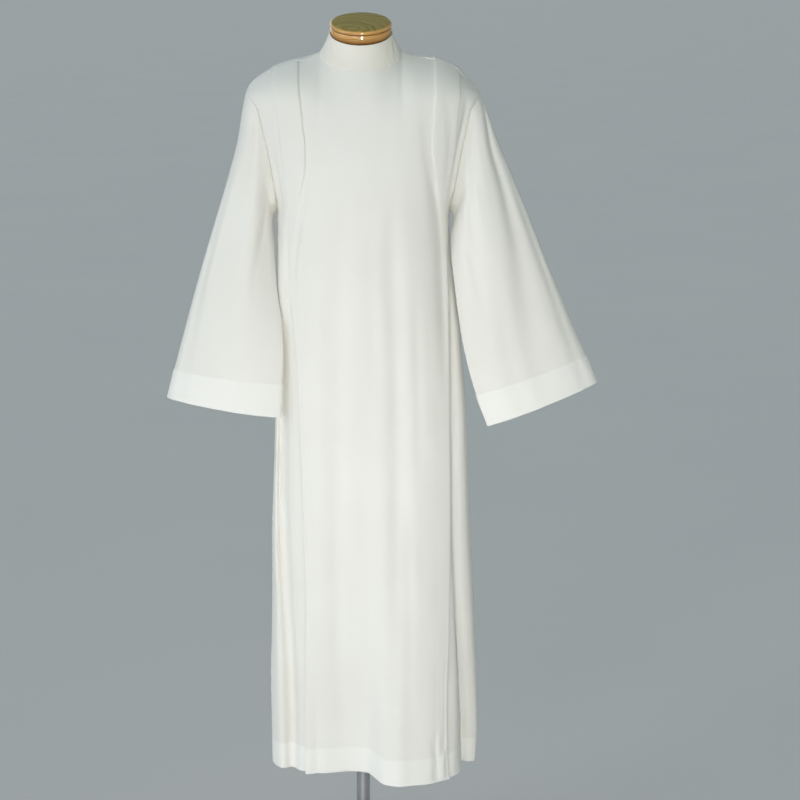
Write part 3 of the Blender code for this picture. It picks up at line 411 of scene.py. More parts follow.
# The back's creases.
BACK_CREASES = (
    Crease(((-170, 1395, 5, 1), (-150, 1440, 8, 2.4), (-130, 1510, 9, 1.4), (-122, 1570, 9, 0))),
    Crease(((-168, 1372, 5, 1), (-148, 1330, 8, 2.4), (-136, 1260, 9, 1.2), (-132, 1180, 9, 0))),
    Crease(((174, 1395, 5, 1), (152, 1445, 8, 2.6), (134, 1515, 9, 1.4), (128, 1570, 9, 0))),
    Crease(((172, 1372, 5, 1), (152, 1325, 8, 2.2), (140, 1250, 9, 1.2), (136, 1160, 9, 0))),
    Crease(((-60, 1560, 12, 0), (-62, 1400, 14, 1.8), (-66, 1200, 14, 2), (-72, 950, 14, 0))),
    Crease(((70, 1520, 12, 0), (68, 1380, 14, 1.6), (70, 1180, 14, 2), (78, 900, 14, 0))),
    Crease(((-110, 1250, 12, 0), (-114, 1050, 12, 2), (-120, 820, 12, 1.2), (-124, 600, 12, 0))),
    Crease(((118, 1200, 12, 0), (124, 1000, 12, 2), (130, 780, 12, 0))),
    Crease(((16, 1290, 5, 1.6), (26, 1240, 8, 2), (34, 1150, 10, 0))),
    Crease(((-40, 700, 10, 0), (-42, 520, 10, 1.8), (-44, 330, 10, 2.4), (-45, 222, 10, 2.6))),
    Crease(((50, 640, 8, 0), (54, 460, 8, 1.6), (58, 300, 8, 2.4), (60, 222, 8, 2.6))),
    Crease(((-112, 460, 7, 0), (-116, 340, 7, 2), (-118, 222, 7, 2.4))),
    Crease(((112, 420, 6, 0), (114, 320, 6, 1.8), (116, 222, 6, 2.2))),
)
# The collar's, as degrees from the front's middle, and sixty times the share of its height.
COLLAR_CREASES = (
    Crease(((80, 60, 4, -0.2), (77, 48, 4.5, 1.3), (71, 28, 5, 1.6), (64, 12, 5, 0.4))),
    Crease(((92, 58, 4, -0.2), (89, 42, 4.5, 1.3), (86, 22, 5, 1.2), (84, 8, 4, 0))),
    Crease(((58, 50, 5, 0), (55, 36, 5, 0.7), (50, 18, 5, 0.6), (46, 6, 5, 0))),
    Crease(((-74, 60, 4, -0.2), (-67, 46, 4.5, 1.3), (-56, 26, 5, 1.5), (-47, 12, 5, 0))),
    Crease(((-54, 58, 4, 0), (-45, 40, 4.5, 1), (-33, 22, 5, 0.6), (-26, 12, 5, 0))),
    Crease(((-92, 50, 4, 0.2), (-87, 30, 4.5, 1.2), (-82, 12, 5, 0))),
    Crease(((128, 50, 5, 0.3), (122, 26, 5, 1), (118, 8, 5, 0))),
    Crease(((-132, 46, 5, 0.4), (-126, 24, 5, 1), (-122, 10, 5, 0))),
    Crease(((106, 44, 5, 0.2), (110, 24, 5, 0.9), (112, 8, 5, 0))),
    Crease(((-108, 48, 5, 0.2), (-112, 30, 5, 0.9), (-116, 12, 5, 0))),
)
# The sleeves', as degrees round from the outer line, and 25 times the station.
SLEEVE_RIGHT_CREASES = (
    Crease(((60, 4, 6, 0), (72, 24, 6, 2.2), (84, 60, 6, 1), (92, 90, 6, 0))),
    Crease(((128, 30, 5, 0), (126, 70, 6, 1.8), (120, 130, 6, 1.6), (116, 200, 6, 0))),
    Crease(((30, 60, 6, 0), (34, 120, 7, 1.8), (40, 190, 7, 1.4), (44, 250, 7, 1))),
    Crease(((150, 6, 5, 1), (142, 34, 6, 2.2), (138, 70, 6, 0))),
    Crease(((84, 120, 7, 0), (88, 180, 8, 1.6), (94, 250, 8, 1.2))),
    Crease(((210, 6, 5, 1), (220, 40, 6, 2), (226, 80, 6, 0))),
    Crease(((300, 30, 7, 0), (296, 90, 8, 1.8), (290, 160, 8, 0))),
    Crease(((262, 110, 7, 0), (266, 170, 8, 1.8), (270, 250, 8, 1.4))),
)
SLEEVE_LEFT_CREASES = (
    Crease(((64, 4, 6, 0), (78, 28, 6, 2.4), (90, 64, 6, 1.2), (98, 100, 6, 0))),
    Crease(((134, 20, 5, 0), (132, 60, 6, 2), (126, 120, 6, 1.6), (120, 190, 6, 0))),
    Crease(((28, 50, 6, 0), (30, 110, 7, 1.8), (36, 180, 7, 1.4), (42, 250, 7, 1))),
    Crease(((152, 6, 5, 1), (146, 40, 6, 2.4), (140, 80, 6, 0))),
    Crease(((100, 130, 7, 0), (108, 190, 8, 1.8), (112, 250, 8, 1.4))),
    Crease(((208, 6, 5, 1), (218, 40, 6, 2), (224, 80, 6, 0))),
    Crease(((304, 30, 7, 0), (298, 90, 8, 1.8), (292, 160, 8, 0))),
    Crease(((262, 110, 7, 0), (266, 170, 8, 1.8), (270, 250, 8, 1.4))),
)


def relief(across: Array, height: Array, creases: Sequence[Crease]) -> Array:
    """Add up how deep the cloth lies in several creases."""
    return sum((crease.press(across, height) for crease in creases), np.zeros(across.shape))


def ripple(across: Array, height: Array, seed: int, size: float) -> Array:
    """Work out the small unevenness of hanging cloth, a sum of long low waves.

    Args:
        across: Each point's place across the cloth.
        height: Each point's height.
        seed: What the waves are drawn from.
        size: Their usual depth.

    Returns:
        The depth at each point.
    """
    draw = np.random.default_rng(seed)
    total = np.zeros(across.shape)
    for _ in range(RIPPLE_WAVES):
        wide = draw.uniform(*RIPPLE_WIDE)
        tall = draw.uniform(*RIPPLE_TALL)
        lean = draw.normal(0, RIPPLE_LEAN)
        first, second = draw.uniform(0, 2 * math.pi, 2)
        side = np.sin(2 * math.pi * (across + lean * height) / wide + first)
        total += side * np.sin(2 * math.pi * height / tall + second) * wide / RIPPLE_UNIT
    return size * total / math.sqrt(RIPPLE_WAVES)


def pucker(gap: Array, along: Array, reach: float, size: float) -> Array:
    """Work out the small gathers that a seam draws in the cloth.

    Args:
        gap: Each point's distance from the seam.
        along: Each point's place along the seam.
        reach: How far the gathers run from the seam.
        size: Their depth at the seam.

    Returns:
        The depth at each point.
    """
    drift = sum(deep * np.sin(along / length + start) for deep, length, start in PUCKER_DRIFT)
    deep, length, turn = PUCKER_FINE
    wave = np.sin(2 * math.pi * along / PUCKER_PITCH + drift) + deep * np.sin(along / length + drift * turn)
    deep, length, start = PUCKER_SWELL
    swell = 1 - deep + deep * np.sin(along / length + start)
    return size * swell * wave * np.exp(-((gap / reach) ** 2))


@dataclass(frozen=True)
class SeamLook:
    """How a seam marks the cloth: its gathers' reach and size, and its groove's depth and half width."""

    reach: float
    size: float
    deep: float = 0.0
    wide: float = 1.0

    def press(self, gap: Array | float, along: Array | float) -> Array:
        """Give how deep the seam lies, by the distance from it and the place along it."""
        return pucker(gap, along, self.reach, self.size) + self.deep * np.exp(-((gap / self.wide) ** 2))


def mix(a: Array, b: Array, low: Array, high: Array, t: Array) -> Array:
    """Go from a at low to b at high, read at t."""
    return a + (b - a) * (t - low) / (high - low)


def fine_line(rows: Array, counts: Sequence[int]) -> Array:
    """Carry a smooth line through the points of every row.

    Args:
        rows: Rows of points, all of one length.
        counts: How many steps each stretch between two points is given.

    Returns:
        The rows with the finer points.
    """
    first = 2 * rows[:, :1] - rows[:, 1:2]
    last = 2 * rows[:, -1:] - rows[:, -2:-1]
    whole = np.concatenate([first, rows, last], axis=1)
    made = [rows[:, :1]]
    for k, count in enumerate(counts):
        p = [whole[:, k + n][:, None] for n in range(4)]
        knots = [np.zeros((len(rows), 1, 1))]
        for a, b in zip(p, p[1:]):
            knots.append(knots[-1] + np.sqrt(np.linalg.norm(b - a, axis=2, keepdims=True)) + 1e-6)
        share = (np.arange(1, count + 1) / count)[None, :, None]
        t = knots[1] + (knots[2] - knots[1]) * share
        a = [mix(p[n], p[n + 1], knots[n], knots[n + 1], t) for n in range(3)]
        b = [mix(a[n], a[n + 1], knots[n], knots[n + 2], t) for n in range(2)]
        made.append(mix(b[0], b[1], knots[1], knots[2], t))
    return np.concatenate(made, axis=1)


def unit(ways: Array) -> Array:
    """Bring every direction to length 1."""
    return ways / np.linalg.norm(ways, axis=-1, keepdims=True)


def run_along(points: Array) -> Array:
    """Give the run along a line at each of its points."""
    return np.concatenate([[0], np.cumsum(np.linalg.norm(np.diff(points, axis=0), axis=1))])


def read_line(places: Array | float, run: Array, points: Array) -> Array:
    """Give the points of a line at places along its run."""
    return np.stack([np.interp(places, run, points[:, k]) for k in range(3)], -1)


class Face(Enum):
    """The two faces of the robe's body."""

    FRONT = -1
    BACK = 1


@dataclass(frozen=True)
class Turn:
    """How a face turns over the yoke: its straight share and the rest's power, and its share at the neck."""

    straight: float
    power: float
    neck: float


@dataclass(frozen=True)
class BodyShape:
    """The smooth form of the robe's front or back, from the hem to the shoulder seams and the neckline."""

    face: Face
    outline: Columns = BODY
    roundness: float = 2.4
    hem: float = 217.0
    armpit: float = 1385.0
    yoke: float = 1585.0
    top: float = 1685.0
    neck_half: float = 80.0
    neck_blend: float = 30.0
    neck_side: Pair = (-14.0, 1702.0)
    neck_front: Pair = (-85.0, 1668.0)
    neck_back: Pair = (62.0, 1722.0)
    turn_front: Turn = Turn(0.2, 2.6, 0.75)
    turn_back: Turn = Turn(0.15, 1.9, 0.7)
    shoulder_gap: float = 0.2

    def neckline(self, share: Array | float, front: bool) -> tuple[Array, Array]:
        """Give the neckline.

        Args:
            share: The share of the way from its side to its middle.
            front: Whether that is the middle of the front.

        Returns:
            Its y and z.
        """
        middle = self.neck_front if front else self.neck_back
        low = self.neck_side[1] - RIDGE_DROP
        y = self.neck_side[0] + (middle[0] - self.neck_side[0]) * share
        return y, low + (middle[1] - low) * share

    def seam(self, x: Array) -> tuple[Array, Array]:
        """Give the shoulder seam and the neckline.

        Args:
            x: Places across the body.

        Returns:
            Their y and z.
        """
        y = np.interp(x, SEAM_PLACE["x"], SEAM_PLACE["y"])
        z = RIDGE.read("height", x) - RIDGE_DROP
        share = np.sqrt(np.clip(1 - (x / self.neck_half) ** 2, 0, 1))
        neck_y, neck_z = self.neckline(share, self.face is Face.FRONT)
        inside = np.abs(x) < self.neck_half
        gap = self.shoulder_gap * self.face.value
        return np.where(inside, neck_y, y + gap), np.where(inside, neck_z, z + gap)

    def depth(self, x: Array, row: float) -> Array:
        """Give how far the body and its broad folds lie from its middle plane.

        Args:
            x: Places across the body.
            row: The row's height.

        Returns:
            The y of each place, below the yoke.
        """
        left = self.outline.read("left", row)
        right = self.outline.read("right", row)
        reach = np.clip(np.abs(2 * x - left - right) / (right - left), 0, 1)
        shape = (1 - reach**self.roundness) ** (1 / self.roundness)
        if self.face is Face.BACK:
            y = self.outline.read("back", row) * shape
            share = BACK_SHARE.read("share", row)
            rise = (row - self.hem) / (self.top - self.hem)
            for k in range(len(BACK_FOLDS["width"])):
                low = BACK_FOLDS["hem_line"][k]
                line = low + (BACK_FOLDS["top_line"][k] - low) * rise
                away = (x - line) / BACK_FOLDS["width"][k]
                y = y + BACK_FOLDS["out"][k] * share * np.exp(-away * away)
            return y
        y = -self.outline.read("front", row) * shape
        y = y + HEM_SHARE.read("share", row) * HEM_SWING.read("back", x)
        for fold in SOFT_FOLDS:
            away = (x - fold.read("line", row)) / fold.read("width", row)
            y = y + fold.read("depth", row) * np.exp(-away * away)
        return y

    def crown(self, w: float, seam_z: Array) -> Array:
        """Give the share of the shoulders' height that the back reaches, by the way to the seam."""
        peak = 1 + RIDGE_DROP / (seam_z - self.yoke)
        return (peak * (1 - ((RIDGE_SHARE - w) / RIDGE_SHARE) ** 2) if w < RIDGE_SHARE
                else peak - (peak - 1) * ((w - RIDGE_SHARE) / (1 - RIDGE_SHARE)) ** 2)

    def points(self, x: Array, row: float) -> Array:
        """Give points of the front or the back along a row.

        Args:
            x: Places across the body.
            row: The row's height; above the yoke, its share of the way to the seams.

        Returns:
            The points.
        """
        y = self.depth(x, row)
        if row <= self.yoke:
            return np.stack([x, y, np.full_like(x, row)], 1)
        w = (row - self.yoke) / (self.top - self.yoke)
        seam_y, seam_z = self.seam(x)
        over = blend(self.neck_half - self.neck_blend, self.neck_half + self.neck_blend, np.abs(x))
        if self.face is Face.FRONT:
            turn = self.turn_front
            lift = np.full_like(x, w)
        else:
            turn = self.turn_back
            lift = over * self.crown(w, seam_z) + (1 - over) * w
        at_shoulder = turn.straight * w + (1 - turn.straight) * w**turn.power
        at_neck = turn.neck * w + (1 - turn.neck) * w * w
        y = y + (seam_y - y) * (over * at_shoulder + (1 - over) * at_neck)
        return np.stack([x, y, self.yoke + (seam_z - self.yoke) * lift], 1)

    def facing(self, x: Array, row: float) -> Array:
        """Give the outward direction at places along a row.

        Args:
            x: Places across the body.
            row: The row's height.

        Returns:
            One unit vector for each place.
        """
        along = self.points(x + 1, row) - self.points(x - 1, row)
        up = np.tile(UP, (len(x), 1))
        if row >= self.yoke:
            up = self.points(x, min(row + 1, self.top)) - self.points(x, row - 1)
        return unit(np.cross(along, up) * -self.face.value)


@dataclass(frozen=True)
class Fold:
    """A lapped fold in a row: its edge's run, its lap, how far it has opened, and its two levels."""

    edge: float
    lap: float
    opened: float
    top: float
    bottom: float


class ClothRow:
    """One row of the body's cloth, read by the run along it."""

    DENSE = 401
    LEVELS = (0.0, 0.25, 0.5, 0.5, 0.75, 1.0)

    def __init__(self, body: BodyShape, row: float, low: float, high: float) -> None:
        """Lay the row from one seam to the other.

        Args:
            body: The body it lies on.
            row: Its height.
            low: The x of the seam on the wearer's right.
            high: The x of the seam on the wearer's left.
        """
        turn = np.linspace(0, math.pi, self.DENSE)
        self.x = (low + high) / 2 - (high - low) / 2 * np.cos(turn)
        self.places = body.points(self.x, row)
        self.run = run_along(self.places)
        self.out = body.facing(self.x, row)

    def run_at(self, x: float) -> float:
        """Give the run along the row at x."""
        return float(np.interp(x, self.x, self.run))

    def at(self, run: float, out: float = 0.0, back: float = 0.0) -> Array:
        """Give a point at a run, moved outward and moved straight back.

        Args:
            run: The run along the row.
            out: How far it is moved outward.
            back: How far it is moved along +Y.

        Returns:
            The point.
        """
        place = read_line(run, self.run, self.places)
        away = read_line(run, self.run, self.out)
        return place + away * out + np.array([0.0, back, 0.0])

    def lapped(self, fold: Fold, sense: int) -> list[Array]:
        """Give the six points of a lapped fold, from its top layer to the layer under it.

        Args:
            fold: The fold.
            sense: +1 where the lap's edge faces the row's end, -1 where it faces its start.

        Returns:
            The points.
        """
        turn = LAYER_PITCH / 2
        shut = (-turn, 0.0, -turn, turn - fold.lap, -fold.lap, turn - fold.lap)
        places = []
        for closed, spread, share in zip(shut, TUCK_OPEN_SPREAD, self.LEVELS):
            along = closed * (1 - fold.opened) + spread * fold.opened
            out = fold.top + (fold.bottom - fold.top) * share
            places.append(self.at(fold.edge + sense * along, out))
        return places


def clear_selection() -> None:
    """Leave edit mode and deselect every object."""
    if bpy.context.object and bpy.context.object.mode != "OBJECT":
        bpy.ops.object.mode_set(mode="OBJECT")
    bpy.ops.object.select_all(action="DESELECT")


def link(name: str, data: bpy.types.ID) -> Object:
    """Put a new object in the scene.

    Args:
        name: Its name.
        data: Its data.

    Returns:
        The object.
    """
    thing = bpy.data.objects.new(name, data)
    bpy.context.scene.collection.objects.link(thing)
    return thing


class Nodes:
    """A node tree, filled one node at a time."""

    def __init__(self, tree: NodeTree) -> None:
        """Keep the tree."""
        self.tree = tree

    def set(self, socket: NodeSocket, value: object) -> None:
        """Link a socket to another one, or give it a number or a colour.

        Args:
            socket: The socket.
            value: The other socket, the number or the colour.
        """
        if isinstance(value, NodeSocket):
            self.tree.links.new(value, socket)
        else:
            socket.default_value = value

    def add(self, kind: str, inputs: dict[str | int, object] | None = None, **settings: object) -> Node:
        """Add a node.

        Args:
            kind: The node's type, after ShaderNode.
            inputs: Values and links for its inputs, by name or number.
            settings: Its own properties.

        Returns:
            The node.
        """
        node = self.tree.nodes.new("ShaderNode" + kind)
        for name, value in settings.items():
            setattr(node, name, value)
        for name, value in (inputs or {}).items():
            self.set(node.inputs[name], value)
        return node

    def math(self, operation: str, *values: object) -> NodeSocket:
        """Combine numbers, such as two that are multiplied."""
        return self.add("Math", dict(enumerate(values)), operation=operation).outputs[0]

    def mixed(self, factor: NodeSocket, low: object, high: object, **settings: object) -> NodeSocket:
        """Mix two colours.

        Args:
            factor: Where the mix is read.
            low: The colour at 0.
            high: The colour at 1.
            settings: The node's own properties.

        Returns:
            The mixed colour.
        """
        node = self.add("Mix", data_type="RGBA", **settings)
        for number, value in zip((0, 6, 7), (factor, low, high)):
            self.set(node.inputs[number], value)
        return node.outputs[2]

    def noise(self, place: NodeSocket, scale: float, detail: float,
              stretch: Point = (1.0, 1.0, 1.0)) -> NodeSocket:
        """Read a noise at a place, stretched along the axes.

        Args:
            place: The coordinates it is read at.
            scale: The noise's scale.
            detail: Its detail.
            stretch: What each coordinate is multiplied by.

        Returns:
            The noise's height.
        """
        mapping = self.add("Mapping", {"Vector": place, "Scale": stretch})
        inputs = {"Vector": mapping.outputs[0], "Scale": scale, "Detail": detail}
        return self.add("TexNoise", inputs).outputs[0]

    def levels(self, value: NodeSocket, low: float, high: float) -> NodeSocket:
        """Stretch a value so that low becomes 0 and high becomes 1."""
        return self.add("MapRange", {"Value": value, "From Min": low, "From Max": high}).outputs[0]

    def ranged(self, value: NodeSocket, low: float, high: float) -> NodeSocket:
        """Turn a share from 0 to 1 into a value from low to high."""
        return self.add("MapRange", {"Value": value, "To Min": low, "To Max": high}).outputs[0]


@dataclass
class Finish(Nodes):
    """A material, whose own nodes each kind of finish adds."""

    name: str
    tree: NodeTree = field(init=False)

    def dress(self) -> None:
        """Add the finish's own nodes; each finish has its own."""
        raise NotImplementedError

    def build(self) -> Material:
        """Make the material.

        Returns:
            The material.
        """
        material = bpy.data.materials.new(self.name)
        material.use_nodes = True
        self.tree = material.node_tree
        self.dress()
        return material

    def place(self) -> NodeSocket:
        """Give the object's own coordinates."""
        return self.add("TexCoord").outputs["Object"]

    def bump(self, height: NodeSocket, strength: float, distance: float) -> NodeSocket:
        """Make a bump of a strength, and of a distance in metres, and give its direction."""
        return self.add("Bump", {"Height": height, "Strength": strength, "Distance": distance}).outputs[0]

    def shade(self, **inputs: object) -> None:
        """Set the shader's inputs.

        Args:
            inputs: Values and links, named with underscores for spaces.
        """
        shader = self.tree.nodes["Principled BSDF"]
        for name, value in inputs.items():
            self.set(shader.inputs[name.replace("_", " ")], value)


@dataclass
class ClothFinish(Finish):
    """Matt woven cloth: two near creams, slubs along its threads, a fine weave."""

    light: Colour = (0.825, 0.81, 0.762, 1.0)
    dark: Colour = (0.8, 0.783, 0.73, 1.0)
    slub: Colour = (0.75, 0.732, 0.67, 1.0)
    double: Colour = (0.865, 0.852, 0.808, 1.0)
    patches: float = 5.0
    slub_across: float = 1400.0
    slub_along: float = 38.0
    slub_range: Pair = (0.62, 0.8)
    slub_share: float = 0.35
    thread: float = 0.00085
    weave: float = 0.00006
    roughness: float = 0.86
    sheen: float = 0.2

    def dress(self) -> None:
        """Add the nodes."""
        uv = self.add("UVMap", uv_map="UVMap").outputs[0]
        broad = self.levels(self.noise(self.place(), self.patches, 3.0), 0.35, 0.65)
        base = self.mixed(broad, self.light, self.dark)
        warp = self.noise(uv, 1.0, 2.0, (self.slub_across, self.slub_along, 1.0))
        weft = self.noise(uv, 1.0, 2.0, (self.slub_along, self.slub_across, 1.0))
        threads = [self.levels(way, *self.slub_range) for way in (warp, weft)]
        slubs = self.math("MAXIMUM", *threads)
        base = self.mixed(self.math("MULTIPLY", slubs, self.slub_share), base, self.slub)
        twice = self.add("Attribute", attribute_name="double_cloth").outputs["Fac"]
        base = self.mixed(twice, base, self.double)
        inputs = {"Vector": uv, "Scale": 2 * math.pi / 20 / self.thread, "Distortion": 0.6, "Detail": 1.0,
                  "Detail Scale": 0.2}
        bands = [self.add("TexWave", inputs, bands_direction=way).outputs["Fac"] for way in ("X", "Y")]
        height = self.math("ADD", self.math("MULTIPLY", *bands), slubs)
        self.shade(Base_Color=base, Roughness=self.roughness, Sheen_Weight=self.sheen,
                   Sheen_Roughness=0.5, Specular_IOR_Level=0.25, Normal=self.bump(height, 0.6, self.weave))


@dataclass
class StiffClothFinish(ClothFinish):
    """The collar's cloth, stiffened from inside, which makes it a little warmer."""

    light: Colour = (0.875, 0.835, 0.755, 1.0)
    dark: Colour = (0.85, 0.81, 0.725, 1.0)
    slub: Colour = (0.79, 0.75, 0.66, 1.0)


@dataclass
class WoodFinish(Finish):
    """Varnished pine: arcs on its face and level bands round its side, with painted shade on the face, the
    groove and the lowest band.
    """

    side: Colour = (0.72, 0.42, 0.13, 1.0)
    side_ring: Colour = (0.46, 0.20, 0.045, 1.0)
    # Painted shade: the side darkens towards the bottom in its lowest band, standing for the shadow the
    # collar casts.
    low: Colour = (0.24, 0.10, 0.02, 1.0)
    low_shade_range: Pair = (-0.0125, -0.0235)
    # Painted shade: the face's colours are darker than the side's, standing for the shade on the cap's
    # upward face; the arcs are its grain.
    top: Colour = (0.42, 0.31, 0.085, 1.0)
    shaded_top_ring: Colour = (0.27, 0.195, 0.045, 1.0)
    shaded_top_range: Pair = (0.0014, 0.0026)
    # The pore colour is the grain's own, and it also darkens the groove as painted shade.
    pore_and_groove_shade: Colour = (0.19, 0.08, 0.015, 1.0)
    pore_share: float = 0.3
    heart: Point = (0.017, 0.052, 0.0)
    heart_stretch: Point = (1.0, 1.3, 0.5)
    rings: float = 105.0
    layers: float = 420.0
    groove: float = -0.0060
    groove_shade_range: Pair = (0.0019, 0.0006)
    coat_range: Pair = (1.0, 0.03)
    coat_roughness: float = 0.1
    tilt: float = 0.0
    middle: Point = (0.0, 0.0, 0.0)

    def dress(self) -> None:
        """Add the nodes."""
        inputs = {"Vector": self.place(), "Location": self.middle, "Rotation": (self.tilt, 0.0, 0.0)}
        own = self.add("Mapping", inputs, vector_type="TEXTURE").outputs[0]
        rise = self.add("SeparateXYZ", {"Vector": own}).outputs["Z"]
        on_shaded_top = self.levels(rise, *self.shaded_top_range)
        wander = self.noise(own, 16.0, 2.0)
        inputs = {"Vector": own, "Location": self.heart, "Scale": self.heart_stretch}
        turned = self.add("Mapping", inputs).outputs[0]
        reach = self.add("VectorMath", {"Vector": turned}, operation="LENGTH").outputs["Value"]
        arcs = self.levels(self.bands(reach, wander, 0.05, self.rings), 0.44, 0.66)
        layers = self.levels(self.bands(rise, wander, 0.012, self.layers), 0.42, 0.66)
        side = self.mixed(layers, self.side, self.side_ring)
        # Painted shade: darker towards the bottom of the side, for the collar's shadow.
        side = self.mixed(self.levels(rise, *self.low_shade_range), side, self.low)
        # Painted shade: the groove is darkened with the pore colour.
        gap = self.math("ABSOLUTE", self.math("SUBTRACT", rise, self.groove))
        side = self.mixed(self.levels(gap, *self.groove_shade_range), side, self.pore_and_groove_shade)
        # Painted shade: the face takes its darker colours where the cap faces up.
        base = self.mixed(on_shaded_top, side, self.mixed(arcs, self.top, self.shaded_top_ring))
        fine = self.levels(self.noise(own, 1.0, 4.0, (55.0, 420.0, 900.0)), 0.55, 0.78)
        base = self.mixed(self.math("MULTIPLY", fine, self.pore_share), base, self.pore_and_groove_shade)
        self.shade(Base_Color=base, Roughness=0.55, Specular_IOR_Level=0.08,
                   Coat_Weight=self.ranged(on_shaded_top, *self.coat_range), Coat_Roughness=self.coat_roughness,
                   Normal=self.bump(fine, 0.15, 0.0001))

    def bands(self, along: NodeSocket, wander: NodeSocket, bend: float, scale: float) -> NodeSocket:
        """Make uneven bands along a length, bent by a wandering noise."""
        inputs = {"W": self.math("MULTIPLY_ADD", wander, bend, along), "Scale": scale, "Detail": 1.5}
        return self.add("TexNoise", inputs, noise_dimensions="1D").outputs[0]


@dataclass
class MetalFinish(Finish):
    """Brushed steel tube, its fine lines running along it."""

    steel: Colour = (0.56, 0.56, 0.57, 1.0)
    worn: Colour = (0.44, 0.44, 0.45, 1.0)
    brush: Point = (900.0, 900.0, 9.0)
    roughness: Pair = (0.24, 0.4)

    def dress(self) -> None:
        """Add the nodes."""
        place = self.place()
        lines = self.levels(self.noise(place, 1.0, 3.0, self.brush), 0.3, 0.7)
        patches = self.levels(self.noise(place, 18.0, 4.0), 0.35, 0.65)
        self.shade(Base_Color=self.mixed(patches, self.steel, self.worn), Metallic=1.0,
                   Roughness=self.ranged(lines, *self.roughness), Normal=self.bump(lines, 0.15, 0.00005))


@dataclass
class PaintFinish(Finish):
    """Dark stove paint with a faint orange-peel texture and random patches of dust."""

    paint: Colour = (0.045, 0.045, 0.047, 1.0)
    dusty: Colour = (0.085, 0.083, 0.08, 1.0)
    roughness: Pair = (0.38, 0.6)

    def dress(self) -> None:
        """Add the nodes."""
        place = self.place()
        dust = self.levels(self.noise(place, 30.0, 5.0), 0.42, 0.72)
        peel = self.noise(place, 900.0, 1.0)
        self.shade(Base_Color=self.mixed(dust, self.paint, self.dusty),
                   Roughness=self.ranged(dust, *self.roughness), Normal=self.bump(peel, 0.3, 0.00006))


@dataclass
class LinenFinish(Finish):
    """The form's plain linen cover, a coarse weave with darker threads."""

    pale: Colour = (0.60, 0.55, 0.46, 1.0)
    dark: Colour = (0.47, 0.42, 0.34, 1.0)
    warp: Point = (1100.0, 1100.0, 60.0)
    weft: Point = (60.0, 60.0, 1100.0)

    def dress(self) -> None:
        """Add the nodes."""
        place = self.place()
        threads = [self.noise(place, 1.0, 2.0, way) for way in (self.warp, self.weft)]
        both = self.math("MULTIPLY", *(self.levels(thread, 0.35, 0.65) for thread in threads))
        self.shade(Base_Color=self.mixed(both, self.pale, self.dark), Roughness=0.92, Sheen_Weight=0.1,
                   Normal=self.bump(both, 0.5, 0.0002))


@dataclass
class FloorFinish(Finish):
    """The studio's plain pale floor."""

    pale: Colour = (0.82, 0.765, 0.75, 1.0)
    soft: Colour = (0.80, 0.745, 0.735, 1.0)

    def dress(self) -> None:
        """Add the nodes."""
        base = self.mixed(self.levels(self.noise(self.place(), 0.8, 2.0), 0.3, 0.7), self.pale, self.soft)
        self.shade(Base_Color=base, Roughness=0.9, Specular_IOR_Level=0.1)


@dataclass(frozen=True)
class SheetCut:
    """The flat cut of a sheet of cloth, in metres, and what it hangs on."""

    width: float
    length: float
    area: float
    rests_on: tuple[str, ...]
    held: str = "hung"


